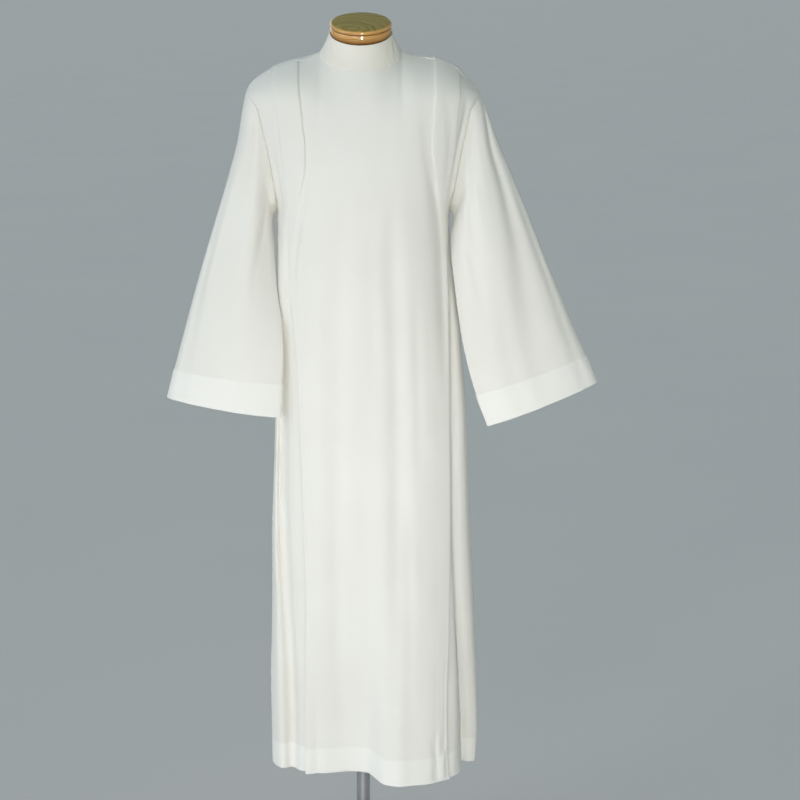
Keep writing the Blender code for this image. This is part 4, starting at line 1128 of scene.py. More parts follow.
@dataclass
class ClothSheet:
    """A thin cloth wall laid through a grid of points, from low rows to high ones, with its stitches.

    It stands for the CAD node whose name it has.  double is 1 where the cloth is double.
    """

    node: str
    grid: Array
    cut: SheetCut
    thick: float
    finish: type[Finish] = ClothFinish
    closed: bool = False
    double: Array | float = 0.0
    run: Array = field(init=False)
    rise: Array = field(init=False)

    def __post_init__(self) -> None:
        """Close the grid if it is closed, and measure the cloth's own run along its rows and columns."""
        if self.closed:
            self.grid = np.concatenate([self.grid, self.grid[:, :1]], axis=1)
        across = np.linalg.norm(np.diff(self.grid, axis=1), axis=2)
        up = np.linalg.norm(np.diff(self.grid, axis=0), axis=2).mean(axis=1)
        self.run = np.concatenate([np.zeros((len(self.grid), 1)), np.cumsum(across, axis=1)], axis=1)
        self.rise = np.concatenate([[0], np.cumsum(up)])

    def area(self) -> float:
        """Work out the cloth's area.

        Returns:
            The area in square metres.
        """
        a = self.grid[1:, 1:] - self.grid[:-1, :-1]
        b = self.grid[1:, :-1] - self.grid[:-1, 1:]
        return float(np.linalg.norm(np.cross(a, b), axis=2).sum() / 2) * MM * MM

    def lay_mesh(self, mesh: Mesh) -> None:
        """Lay a grid mesh through the cloth's points.

        Args:
            mesh: The mesh, with as many rows and columns.
        """
        shape = self.grid.shape[:2]
        mesh.vertices.foreach_set("co", (self.grid * MM).reshape(-1))
        uv = np.stack([self.run, np.broadcast_to(self.rise[:, None], shape)], 2) * MM
        corners = np.empty(len(mesh.loops), dtype=np.int32)
        mesh.loops.foreach_get("vertex_index", corners)
        mesh.uv_layers.active.data.foreach_set("uv", uv.reshape(-1, 2)[corners].reshape(-1))
        layer = mesh.attributes.new("double_cloth", "FLOAT", "POINT")
        layer.data.foreach_set("value", np.broadcast_to(self.double, shape).reshape(-1))
        mesh.update()
        if self.closed:
            work = bmesh.new()
            work.from_mesh(mesh)
            bmesh.ops.remove_doubles(work, verts=work.verts, dist=0.01 * MM)
            work.to_mesh(mesh)
            work.free()

    def wall(self, cloth: Material) -> Object:
        """Make the wall.

        Args:
            cloth: Its material.

        Returns:
            The object.
        """
        rows, columns = self.grid.shape[:2]
        clear_selection()
        bpy.ops.mesh.primitive_grid_add(x_subdivisions=columns - 1, y_subdivisions=rows - 1, size=1)
        thing = bpy.context.object
        thing.name = thing.data.name = "robe_" + self.node
        self.lay_mesh(thing.data)
        thing.data.materials.clear()
        thing.data.materials.append(cloth)
        wall = thing.modifiers.new("wall", "SOLIDIFY")
        wall.thickness = self.thick * MM
        wall.offset = 0.0
        bpy.ops.object.modifier_apply(modifier=wall.name)
        bpy.ops.object.shade_smooth_by_angle(angle=SMOOTH_ANGLE)
        return thing

    def build(self, seams: Sequence[tuple[Array, Array]] = ()) -> None:
        """Make the wall and its stitches, attach them to the body, hide the CAD node they stand for and log
        their sizes.

        Args:
            seams: For each row of stitches, its path and the cloth's outward direction along it.
        """
        slot = self.node + "_cloth"
        cloth = self.finish(slot).build()
        thing = self.wall(cloth)
        sewn = []
        if seams:
            stitches = Stitching()
            for path, facing in seams:
                stitches.sew(path, facing, self.thick)
            sewn.append(stitches.build(self.node + "_stitches", cloth))
        for piece in (thing, *sewn):
            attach(piece, BODY_NAME)
        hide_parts(self.node)
        cut = self.cut
        LOG.info("%s: area %.4f of %.4f, widest row %.3f, longest %.3f", thing.name, self.area(), cut.area,
                 self.run[:, -1].max() * MM, self.rise[-1] * MM)


@dataclass
class Stitching:
    """Rows of small stitches, joined into one piece."""

    length: float = 2.6
    pitch: float = 3.5
    thick: float = 0.42
    flat: float = 0.7
    lift: float = 0.1
    points: list[Array] = field(default_factory=list)
    shape: Array = field(init=False)
    faces: list[tuple[int, ...]] = field(init=False)

    def __post_init__(self) -> None:
        """Model one stitch, a short rounded thread along X, and keep its points and faces."""
        clear_selection()
        bpy.ops.mesh.primitive_uv_sphere_add(segments=6, ring_count=5, radius=0.5)
        thing = bpy.context.object
        size = np.array([self.thick, self.thick * self.flat, self.length])
        self.shape = np.array([tuple(v.co) for v in thing.data.vertices]) * size
        self.shape = self.shape[:, [2, 0, 1]]
        self.faces = [tuple(p.vertices) for p in thing.data.polygons]
        bpy.data.objects.remove(thing)

    def sew(self, path: Array, facing: Array, thick: float) -> None:
        """Sew a row of stitches along a path.

        Args:
            path: Points along the seam.
            facing: The cloth's outward direction at each.
            thick: How thick the cloth is.
        """
        run = run_along(path)
        places = np.arange(self.pitch, run[-1] - self.pitch, self.pitch)
        middle = read_line(places, run, path)
        along = unit(read_line(places + 1, run, path) - middle)
        side = unit(np.cross(read_line(places, run, facing), along))
        out = np.cross(along, side)
        axes = np.stack([along, side, out], 1)
        middle = middle + out * (thick / 2 + self.lift)
        self.points.append(np.einsum("pk,nkc->npc", self.shape, axes) + middle[:, None])

    def build(self, name: str, material: Material) -> Object:
        """Join the stitches into one object.

        Args:
            name: The piece's name.
            material: The thread's finish.

        Returns:
            The object.
        """
        points = np.concatenate([p.reshape(-1, 3) for p in self.points]) * MM
        faces = []
        for first in range(0, len(points), len(self.shape)):
            faces.extend(tuple(first + k for k in face) for face in self.faces)
        mesh = bpy.data.meshes.new(name)
        mesh.from_pydata(points.tolist(), [], faces)
        work = bmesh.new()
        work.from_mesh(mesh)
        bmesh.ops.recalc_face_normals(work, faces=work.faces)
        work.to_mesh(mesh)
        work.free()
        mesh.shade_smooth()
        mesh.materials.append(material)
        return link(name, mesh)


@dataclass(frozen=True)
class Layers:
    """The front's and back's cloth wall and the levels of its folds, in millimetres.

    The allowance is the cloth turned in at a side seam, as runs from the seam and levels.
    """

    thick: float = 0.75
    pitch: float = LAYER_PITCH
    seam_gap: float = 0.1
    edge_run: float = 1.1
    allowance: Pairs = ((0.5, -3.6), (0.15, -1.3), (0.0, -0.35), (1.1, 0.0))
    hem: float = 55.0


def spaced(stops: Sequence[float], counts: Sequence[int]) -> Array:
    """Give even places between each two stops."""
    parts = [np.linspace(low, high, count)[1:] for low, high, count in zip(stops, stops[1:], counts)]
    return np.concatenate([stops[:1], *parts])


@dataclass(frozen=True)
class HemLook:
    """A panel's hem: its seam, the double cloth's rise and step, and the roll of its lower edge.

    The roll is given as steps of (inward, up), behind an edge that is inset and lifted a little.
    """

    seam: SeamLook = SeamLook(8.0, 0.35, 0.45, 1.6)
    proud: float = 0.35
    step: float = 2.0
    change: float = 1.5
    inset: float = 0.3
    lift: float = 0.6
    roll: Pairs = ((1.5, 1.4), (0.8, 0.3))


@dataclass
class Panel:
    """What the front and the back share: fine rows, creases, seams and the hem."""

    body: BodyShape
    layers: Layers
    name: str
    cut: SheetCut
    creases: tuple[Crease, ...]
    seed: int
    stitch_low: float
    spread_row: float
    stitch_gap: float = 1.2
    shoulder_stitch: float = 3.5
    unevenness: float = 0.5
    hem: HemLook = HemLook()
    hem_lift: float = 0.0
    seam_rows: int = 0
    close_rows: float = 285.0
    row_counts: tuple[int, int, int] = (18, 158, 27)
    ease_share: float = 0.9
    ease_reach: float = 22.0
    ease_passes: int = 24
    seam_hold: float = 5.0
    side_seam: SeamLook = SeamLook(9.0, 0.4, 0.5, 2.6)
    shoulder_seam: SeamLook = SeamLook(11.0, 0.45)
    shoulder_spread: float = 1.4
    shoulder_row: float = 1600.0
    out: Array = field(init=False)

    def row(self, row: ClothRow, height: float) -> list[Array]:
        """Give the points of one row; each panel has its own."""
        raise NotImplementedError

    def counts(self) -> list[int]:
        """Give how many steps each stretch between two points of a row is given."""
        raise NotImplementedError

    def edge_lines(self) -> list[tuple[int, int]]:
        """Give each stitched edge's column and the column it is sewn towards."""
        raise NotImplementedError

    def column_starts(self) -> Array:
        """Give the column of every point of a row."""
        return np.concatenate([[0], np.cumsum(self.counts())])

    def heights(self) -> Array:
        """Give the rows' heights, closer at the hem and on the shoulders."""
        return spaced((self.body.hem, self.close_rows, self.body.yoke, self.body.top), self.row_counts)

    def levels(self, mode: str) -> Array:
        """Give the heights of all rows, with those of the turned edges."""
        return np.pad(self.heights(), (len(self.hem.roll), self.seam_rows), mode)

    def edges(self, row: ClothRow, start: float, sense: int) -> list[Array]:
        """Give the turned-in allowance and the rounded edge at a seam, from inside outward."""
        gap = self.layers.seam_gap
        return [row.at(start + sense * (gap + along), out) for along, out in self.layers.allowance]

    def soften(self, grid: Array) -> Array:
        """Ease the bend where the cloth starts to turn over the shoulders.

        Args:
            grid: The smooth grid.

        Returns:
            The eased grid.
        """
        level = self.heights()
        share = self.ease_share * np.exp(-(((level - self.body.yoke) / self.ease_reach) ** 2))[1:-1, None]
        part = ((level[1:-1] - level[:-2]) / (level[2:] - level[:-2]))[:, None]
        for _ in range(self.ease_passes):
            mean = grid[:-2, :, 1] + (grid[2:, :, 1] - grid[:-2, :, 1]) * part
            grid[1:-1, :, 1] += (mean - grid[1:-1, :, 1]) * share
        return grid

    def lifted(self, across: Array) -> Array:
        """Give how far each point is lifted where the hem hangs unevenly."""
        share = 1 - blend(*HEM_LIFT_ROWS, self.heights())
        return HEM_SWING.read("lift", across) * share[:, None] * self.hem_lift

    def pressed(self, across: Array, height: Array) -> Array:
        """Work out how deep the creases, the ripple and the seams lie.

        Args:
            across: Each point's place across the cloth.
            height: Each point's height.

        Returns:
            The depth at each point.
        """
        level = self.heights()[:, None]
        inward = relief(across, height, self.creases) + ripple(across, height, self.seed, self.unevenness)
        for sizes in (FRONT_RIGHT, FRONT_LEFT):
            gap = np.abs(across - sizes.read("seam", level))
            inward *= 1 - np.exp(-((gap / self.seam_hold) ** 2))
            inward += self.side_seam.press(gap, height)
        shoulder = self.shoulder_seam.press((self.body.top - level) * self.shoulder_spread, across)
        inward += shoulder * (level > self.shoulder_row)
        line = self.body.hem + self.layers.hem
        inward += self.hem.seam.press(np.abs(level - line), across)
        return inward - self.hem.proud * (1 - blend(line - self.hem.step, line + self.hem.step, level))

    def settle(self, grid: Array, rows: Sequence[ClothRow]) -> Array:
        """Press the creases, the ripple and the seams into the cloth, and roll the hem's edge.

        Args:
            grid: The smooth grid.
            rows: The rows it was laid on.

        Returns:
            The settled grid.
        """
        out = unit(np.stack([read_line(line[:, 0], row.x, row.out) for line, row in zip(grid, rows)]))
        across = grid[:, :, 0]
        grid = grid + self.lifted(across)[:, :, None] * UP
        settled = grid - out * self.pressed(across, grid[:, :, 2])[:, :, None]
        edge = settled[0] - out[0] * self.hem.inset
        roll = [edge - out[0] * deep + UP * rise for deep, rise in self.hem.roll]
        settled[0] += UP * self.hem.lift
        self.out = np.concatenate([out[:1]] * len(roll) + [out])
        return np.concatenate([np.stack(roll), settled])

    def lay(self) -> Array:
        """Lay the whole cloth, row by row from the hem up.

        Returns:
            The grid of its points.
        """
        rows = []
        grid = []
        for height in self.heights():
            low = float(FRONT_RIGHT.read("seam", height))
            high = float(FRONT_LEFT.read("seam", height))
            rows.append(ClothRow(self.body, height, low, high))
            grid.append(self.row(rows[-1], height))
        return self.settle(self.soften(fine_line(np.array(grid), self.counts())), rows)

    def seams(self, grid: Array) -> list[tuple[Array, Array]]:
        """Give the paths of the panel's stitches and the cloth's outward direction along them.

        Args:
            grid: The settled grid.

        Returns:
            The paths and directions.
        """
        level = self.levels("constant")
        paths = []
        for height in (self.body.hem + self.layers.hem, self.body.top - self.shoulder_stitch):
            row = int(np.argmin(np.abs(level - height)))
            shown = slice(len(self.layers.allowance) - 1, 1 - len(self.layers.allowance))
            paths.append((grid[row, shown], self.out[row, shown]))
        rows = level >= self.stitch_low
        for column, toward in self.edge_lines():
            step = unit(grid[rows, toward] - grid[rows, column])
            paths.append((grid[rows, column] + step * self.stitch_gap, self.out[rows, column]))
        return paths

    def doubled(self) -> Array:
        """Give a number for each row, 1 where the cloth is double, which it is at the hem."""
        line = self.body.hem + self.layers.hem
        return 1 - blend(line - self.hem.change, line + self.hem.change, self.levels("edge"))[:, None]

    def build(self) -> None:
        """Make the cloth and the stitches along its seams and edges."""
        grid = self.lay()
        sheet = ClothSheet(self.name, grid, self.cut, self.layers.thick, double=self.doubled())
        sheet.build(self.seams(grid))


@dataclass
class FrontPanel(Panel):
    """The robe's front: side panels, the two box pleats and the panel between them."""

    name: str = "front"
    cut: SheetCut = SheetCut(0.722, 1.484, 0.925, ("form_torso",))
    creases: tuple[Crease, ...] = FRONT_CREASES
    seed: int = 11
    stitch_low: float = 1512.0
    spread_row: float = 1430.0
    hem_lift: float = 1.0
    centre_columns: int = 46
    centre_gap: float = 9.0
    centre_top: Pair = (-103.0, 215.0)
    rise_shares: Pair = (0.35, 0.7)
    rise_power: float = 1.5
    crest_share: float = 0.6
    strip_share: float = 0.8
    strap_points: tuple[int, int, int] = (15, 16, 17)
    side_counts: tuple[int, ...] = (1, 1, 1, 2, 2, 3, 3, 3, 2, 9)
    fold_counts: tuple[int, ...] = (2, 2, 3, 2, 2)
    strap_counts: tuple[int, ...] = (4, 4)
    tuck_counts: tuple[int, ...] = (2, 2, 2, 2, 2, 2)

    def side(self, row: ClothRow, sizes: Columns, height: float, sense: int) -> list[Array]:
        """Give the points from the seam to the cloth beside the box pleat's outer edge.

        Args:
            row: The row.
            sizes: The side's table.
            height: The row's height.
            sense: +1 on the wearer's right and -1 on the left.

        Returns:
            The points.
        """
        seam = row.run_at(sizes.read("seam", height))
        start = seam + sense * (self.layers.seam_gap + self.layers.edge_run)
        names = ("crest", "valley", "strip")
        crest, valley, strip = [row.run_at(sizes.read(name, height)) for name in names]
        out, deep, flat = [sizes.read(name + "_back", height) for name in names]
        points = self.edges(row, seam, sense)
        for share in self.rise_shares:
            points.append(row.at(start + (crest - start) * share, 0.0, out * share**self.rise_power))
        points.append(row.at(crest, 0.0, out))
        between = out * self.crest_share + deep * (1 - self.crest_share)
        points.append(row.at((crest + valley) / 2, 0.0, between))
        points.append(row.at(valley, 0.0, deep))
        under = float(PLEAT_DEPTH.read("back", height)) * self.strip_share
        points.append(row.at(strip, 0.0, flat + under))
        return points

    def half(self, row: ClothRow, sizes: Columns, height: float, sense: int) -> list[Array]:
        """Give the points from a seam to the layer under the box pleat's inner edge.

        Args:
            row: The row.
            sizes: The side's table.
            height: The row's height.
            sense: +1 on the wearer's right and -1 on the left.

        Returns:
            The points.
        """
        edge = row.run_at(sizes.read("edge", height))
        tuck = row.run_at(sizes.read("tuck", height))
        opened = float(TUCK.read("open", height))
        proud = 2 * self.layers.pitch
        low = -float(PLEAT_DEPTH.read("back", height))
        outer = Fold(edge, float(sizes.read("lap", height)), 0.0, proud, low)
        inner = Fold(tuck, float(TUCK.read("lap", height)), opened, proud, proud * opened)
        points = self.side(row, sizes, height, sense) + row.lapped(outer, -sense)[::-1]
        points.append(row.at((edge + tuck) / 2, proud))
        return points + row.lapped(inner, sense)

    def row(self, row: ClothRow, height: float) -> list[Array]:
        """Give the points of one row.

        Args:
            row: The smooth row.
            height: Its height.

        Returns:
            The points, from the wearer's right seam to the left.
        """
        near = row.run_at(FRONT_RIGHT.read("tuck", height)) + self.centre_gap
        far = row.run_at(FRONT_LEFT.read("tuck", height)) - self.centre_gap
        chest = 2 * self.layers.pitch * float(TUCK.read("open", height))
        share = blend(self.spread_row, self.body.top, height)
        first, width = self.centre_top
        points = self.half(row, FRONT_RIGHT, height, 1)
        for part in np.linspace(0, 1, self.centre_columns):
            even = near + (far - near) * part
            top = row.run_at(first + width * part)
            points.append(row.at(even + (top - even) * share, chest))
        return points + self.half(row, FRONT_LEFT, height, -1)[::-1]

    def counts(self) -> list[int]:
        """Give how many steps each stretch between two points of a row is given."""
        half = [*self.side_counts, *self.fold_counts, *self.strap_counts, *self.tuck_counts]
        return half + [1] * (self.centre_columns - 1) + half[::-1]

    def edge_lines(self) -> list[tuple[int, int]]:
        """Give each stitched edge's column and the column it is sewn towards.

        Returns:
            The columns, by pairs.
        """
        starts = self.column_starts()
        outer, middle, inner = starts[list(self.strap_points)]
        far = starts[-1] - starts[list(self.strap_points)]
        return [(outer, middle), (far[0], far[1]), (inner, middle), (far[2], far[1])]


@dataclass
class BackPanel(Panel):
    """The robe's back, with the closing down its middle and its seam turned in at the shoulders."""

    name: str = "back"
    cut: SheetCut = SheetCut(0.648, 1.526, 0.824, ("form_torso",))
    creases: tuple[Crease, ...] = BACK_CREASES
    seed: int = 23
    stitch_low: float = 1300.0
    spread_row: float = 1450.0
    half_columns: int = 34
    closing_gap: Pair = (14.0, 12.0)
    half_top: Pair = (-226.0, 26.0)
    half_width: float = 210.0
    cover_row: float = 1640.0
    cover_slope: float = 6.0
    turned: Pairs = ((0.5, 0.15), (1.3, 0.4), (3.4, 0.6))
    seam_rows: int = 3

    def over_pleats(self, x: float, height: float) -> float:
        """Give how far the back rises over the pleats' ends, where the shoulder seam holds them.

        Args:
            x: The place across the body.
            height: The row's height.

        Returns:
            The rise.
        """
        rise = 0.0
        for sizes in (FRONT_RIGHT, FRONT_LEFT):
            ends = sorted((float(sizes.read("edge", height)), float(sizes.read("tuck", height))))
            inside = min(x - ends[0], ends[1] - x)
            rise = max(rise, float(blend(-self.cover_slope, 0.0, inside)))
        return 2 * self.layers.pitch * rise * float(blend(self.cover_row, self.body.top, height))

    def half(self, row: ClothRow, height: float, ends: Pair, first: float) -> list[Array]:
        """Give the points of the plain cloth on one side of the closing.

        Args:
            row: The row.
            height: Its height.
            ends: The runs between which the cloth lies low down.
            first: The x of its first point at the shoulder.

        Returns:
            The points.
        """
        start = self.layers.seam_gap + self.layers.edge_run
        share = blend(self.spread_row, self.body.top, height)
        points = []
        for part in np.linspace(0, 1, self.half_columns):
            even = ends[0] + (ends[1] - ends[0]) * part
            place = first + self.half_width * part
            top = min(max(start, row.run_at(place)), row.run[-1] - start)
            points.append(row.at(even + (top - even) * share, self.over_pleats(place, height)))
        return points

    def row(self, row: ClothRow, height: float) -> list[Array]:
        """Give the points of one row.

        Args:
            row: The smooth row.
            height: Its height.

        Returns:
            The points, from the wearer's right seam to the left.
        """
        start = self.layers.seam_gap + self.layers.edge_run
        line = row.run_at(float(PLACKET.read("line", height)))
        opened = float(PLACKET.read("open", height))
        proud = 2 * self.layers.pitch * (1 - opened)
        fold = Fold(line, float(PLACKET.read("lap", height)), opened, proud, 0.0)
        right = self.half(row, height, (start, line - self.closing_gap[0]), self.half_top[0])
        left = self.half(row, height, (line + self.closing_gap[1], row.run[-1] - start), self.half_top[1])
        points = self.edges(row, 0.0, 1) + right[1:] + row.lapped(fold, -1)[::-1]
        return points + left[:-1] + self.edges(row, row.run[-1], -1)[::-1]

    def counts(self) -> list[int]:
        """Give how many steps each stretch between two points of a row is given."""
        cloth = [2] * (self.half_columns - 1)
        return [1, 1, 1] + cloth + [2] * (len(ClothRow.LEVELS) + 1) + cloth + [1, 1, 1]

    def edge_lines(self) -> list[tuple[int, int]]:
        """Give the closing's edge, by its column and the column it is sewn towards.

        Returns:
            The columns, as the only pair.
        """
        from_end = self.column_starts()[-1] - self.column_starts()
        top_layer = len(self.layers.allowance) - 1 + self.half_columns + len(ClothRow.LEVELS) - 1
        return [(from_end[top_layer], from_end[top_layer + 1])]

    def lay(self) -> Array:
        """Lay the whole back, turned so that its outside faces out.

        Returns:
            The grid of its points.
        """
        settled = self.turn_in(super().lay())
        self.out = self.out[:, ::-1]
        return settled[:, ::-1]

    def turn_in(self, grid: Array) -> Array:
        """Turn the cloth in at the shoulder seam, behind the front's top edge.

        Args:
            grid: The settled grid.

        Returns:
            The grid with its seam allowance.
        """
        top = grid[-1]
        away = unit(grid[-2] - top)
        turned = [top - self.out[-1] * deep + away * behind for deep, behind in self.turned]
        self.out = np.concatenate([self.out] + [self.out[-1:]] * len(turned))
        return np.concatenate([grid, np.stack(turned)])


@dataclass
class Sleeve:
    """An open bell sleeve and the double cuff at its end.

    Stations run along the sleeve, from 0 at the armhole to 10 at the hem.
    """

    END = 10.0

    front: BodyShape
    back: BodyShape
    name: str
    lines: Columns
    armhole_line: Columns
    folds: tuple[Columns, ...]
    creases: tuple[Crease, ...]
    seed: int
    cut: SheetCut
    cuff_cut: SheetCut
    columns: int = 144
    hole_steps: int = 61
    gap: float = 0.15
    pit_push: float = 1.2
    pinch: float = 0.8
    cap_stations: float = 3.0
    thick: float = 1.0
    stops: tuple[float, ...] = (0.0, 0.5, 9.7, END)
    stop_counts: tuple[int, ...] = (9, 92, 6)
    crease_unit: float = 25.0
    ripple_units: Pair = (1.2, 1.7)
    unevenness: float = 0.6
    edge_degrees: float = 30.0
    run_unit: float = 40.0
    hole_unit: float = 55.0
    hole_seam: SeamLook = SeamLook(10.0, 0.5, 0.45, 2.6)
    under_unit: float = 1.1
    under_seam: SeamLook = SeamLook(6.0, 0.3, 0.7, 2.0)
    turned: Pairs = ((4.4, 0.9), (1.6, 0.25))
    cuff_thick: float = 1.1
    cuff_gap: float = 0.25
    cuff_top: Pairs = ((9.05, -0.7), (9.07, -0.15))
    cuff_span: tuple[float, float, int] = (9.1, END, 22)
    cuff_hem: Pairs = ((10.03, -0.35), (10.03, -1.0))
    cuff_reach: Pair = (9.98, 0.8)
    cuff_run: Pair = (66.0, 3.5)
    cuff_unit: float = 60.0
    cuff_seam: SeamLook = SeamLook(7.0, 0.25, 0.35, 1.4)
    cuff_rows: tuple[int, int] = (-6, 6)
    turn: Array = field(init=False)
    hole: list[tuple[Array, Array]] = field(init=False)
    mouth: Array = field(init=False)
    edge_out: Array = field(init=False)

    def __post_init__(self) -> None:
        """Work out how far the armhole's edge lies from the sleeve's first ring."""
        self.turn = np.arange(self.columns) * 2 * math.pi / self.columns
        self.hole = [self.hole_line(body) for body in (self.front, self.back)]
        self.mouth = np.zeros((self.columns, 3))
        flat = self.ring(0.0, folded=False)
        edge = np.array([self.armhole(turn) for turn in self.turn])
        away = unit(self.ring(1.0, folded=False) - edge)
        drop = (1 - np.cos(self.turn)) / 2
        away[:, 0] = away[:, 0] + np.sign(edge[:, 0]) * self.pit_push * drop**3
        self.mouth = edge + away * self.gap - flat
        self.edge_out = away

    def armhole(self, turn: float) -> Array:
        """Give the point of the armhole's edge that the sleeve meets at a turn."""
        run, points = self.hole[0 if math.sin(turn) >= 0 else 1]
        return read_line((1 - math.cos(turn)) / 2 * run[-1], run, points)

    def hole_line(self, body: BodyShape) -> tuple[Array, Array]:
        """Trace one half of the armhole.

        Args:
            body: The front or the back.

        Returns:
            The run along it, and its points.
        """
        points = []
        for height in np.linspace(body.top, body.armpit, self.hole_steps):
            x = np.array([float(self.armhole_line.read("seam", height))])
            points.append(body.points(x, height)[0])
        line = np.array(points)
        return run_along(line), line

    def ring(self, station: float, out: float = 0.0, folded: bool = True) -> Array:
        """Give a ring of the sleeve, from its outer line round by the front.

        Args:
            station: Where along the sleeve.
            out: How far outside the cloth's middle the ring lies.
            folded: Whether the folds are pressed in.

        Returns:
            The ring's points.
        """
        outer = np.array([self.lines.read("out_" + k, station) for k in "xyz"])
        inner = np.array([self.lines.read("in_" + k, station) for k in "xyz"])
        depth = self.lines.read("depth", station)
        axis = (outer - inner) / 2
        half = np.linalg.norm(axis)
        face = np.array([0.0, -1.0, 0.0])
        face = unit(face - axis * (face @ axis) / half**2)
        along = np.cos(self.turn)[:, None]
        side = np.sin(self.turn)[:, None]
        away = unit(along * axis / half * depth / half + side * face)
        inset = self.inset(station) if folded else np.zeros(self.columns)
        bulk = np.sign(side) * np.abs(side) ** (1 + self.pinch * ((1 - along) / 2) ** 2)
        ring = (outer + inner) / 2 + along * axis + bulk * face * depth
        ring = ring + away * (out - inset)[:, None]
        return ring + self.mouth * max(0.0, 1 - station / self.cap_stations) ** 2

    def inset(self, station: float) -> Array:
        """Give how deep the broad folds and the creases lie round the sleeve.

        Args:
            station: Where along the sleeve.

        Returns:
            The depth at each turn.
        """
        degrees = np.degrees(self.turn)
        total = np.zeros(self.columns)
        for fold in self.folds:
            if fold["height"][0] <= station <= fold["height"][-1]:
                gap = (degrees - fold.read("turn", station) + 180) % 360 - 180
                total += fold.read("depth", station) * np.exp(-((gap / fold.read("width", station)) ** 2))
        level = np.full(self.columns, station * self.crease_unit)
        total += relief(degrees, level, self.creases)
        around, down = self.ripple_units
        near = blend(0, self.edge_degrees, degrees) * (1 - blend(360 - self.edge_degrees, 360, degrees))
        return total + ripple(degrees * around, level * down, self.seed, self.unevenness) * near

    def lay(self) -> Array:
        """Lay the sleeve from its hem up to the turned-in edge at the armhole.

        Returns:
            The grid of its points.
        """
        under = np.abs(np.degrees(self.turn) - 180) * self.under_unit
        rings = []
        for station in spaced(self.stops, self.stop_counts):
            ring = self.ring(station)
            run = station * self.run_unit
            inward = self.hole_seam.press(run, self.turn * self.hole_unit)
            inward += self.under_seam.press(under, run)
            rings.append(ring - self.outward(ring) * inward[:, None])
        top = rings[0]
        away = self.outward(top)
        turned = [top - away * deep + self.edge_out * behind for deep, behind in self.turned]
        return np.array(turned + rings)[::-1]

    @staticmethod
    def outward(ring: Array) -> Array:
        """Give the outward direction round a ring, in its own plane.

        Args:
            ring: The ring's points.

        Returns:
            One unit vector for each point.
        """
        along = np.roll(ring, -1, axis=0) - np.roll(ring, 1, axis=0)
        middle = ring.mean(axis=0)
        axes = np.linalg.svd(ring - middle)[2]
        out = np.cross(along, axes[2])
        return unit(out) * np.sign(np.sum(out * (ring - middle), axis=1).sum())

    def lay_cuff(self) -> Array:
        """Lay the cuff's outer cloth on the sleeve's end, with its edges turned to the sleeve.

        Returns:
            The grid of its points.
        """
        out = self.thick / 2 + self.cuff_gap + self.cuff_thick / 2
        before, reach = self.cuff_reach
        scale, seam = self.cuff_run
        plain = [(station, 0.0) for station in np.linspace(*self.cuff_span)]
        rings = []
        for station, lift in (*self.cuff_top, *plain, *self.cuff_hem):
            ring = self.ring(min(station, self.END), out + lift)
            if station > self.END:
                ring = ring + (self.ring(self.END) - self.ring(before)) * reach
            run = (station - self.cuff_top[0][0]) * scale - seam
            inward = self.cuff_seam.press(run, self.turn * self.cuff_unit)
            rings.append(ring - self.outward(ring) * inward[:, None])
        return np.array(rings)[::-1]

    def build(self) -> None:
        """Make the sleeve, its cuff and the cuff's stitches."""
        ClothSheet("sleeve_" + self.name, self.lay(), self.cut, self.thick, closed=True).build()
        grid = self.lay_cuff()
        seams = []
        for row in self.cuff_rows:
            line = np.concatenate([grid[row], grid[row, :1]])
            away = self.outward(grid[row])
            seams.append((line, np.concatenate([away, away[:1]])))
        cuff = ClothSheet("cuff_" + self.name, grid, self.cuff_cut, self.cuff_thick, closed=True, double=1.0)
        cuff.build(seams)


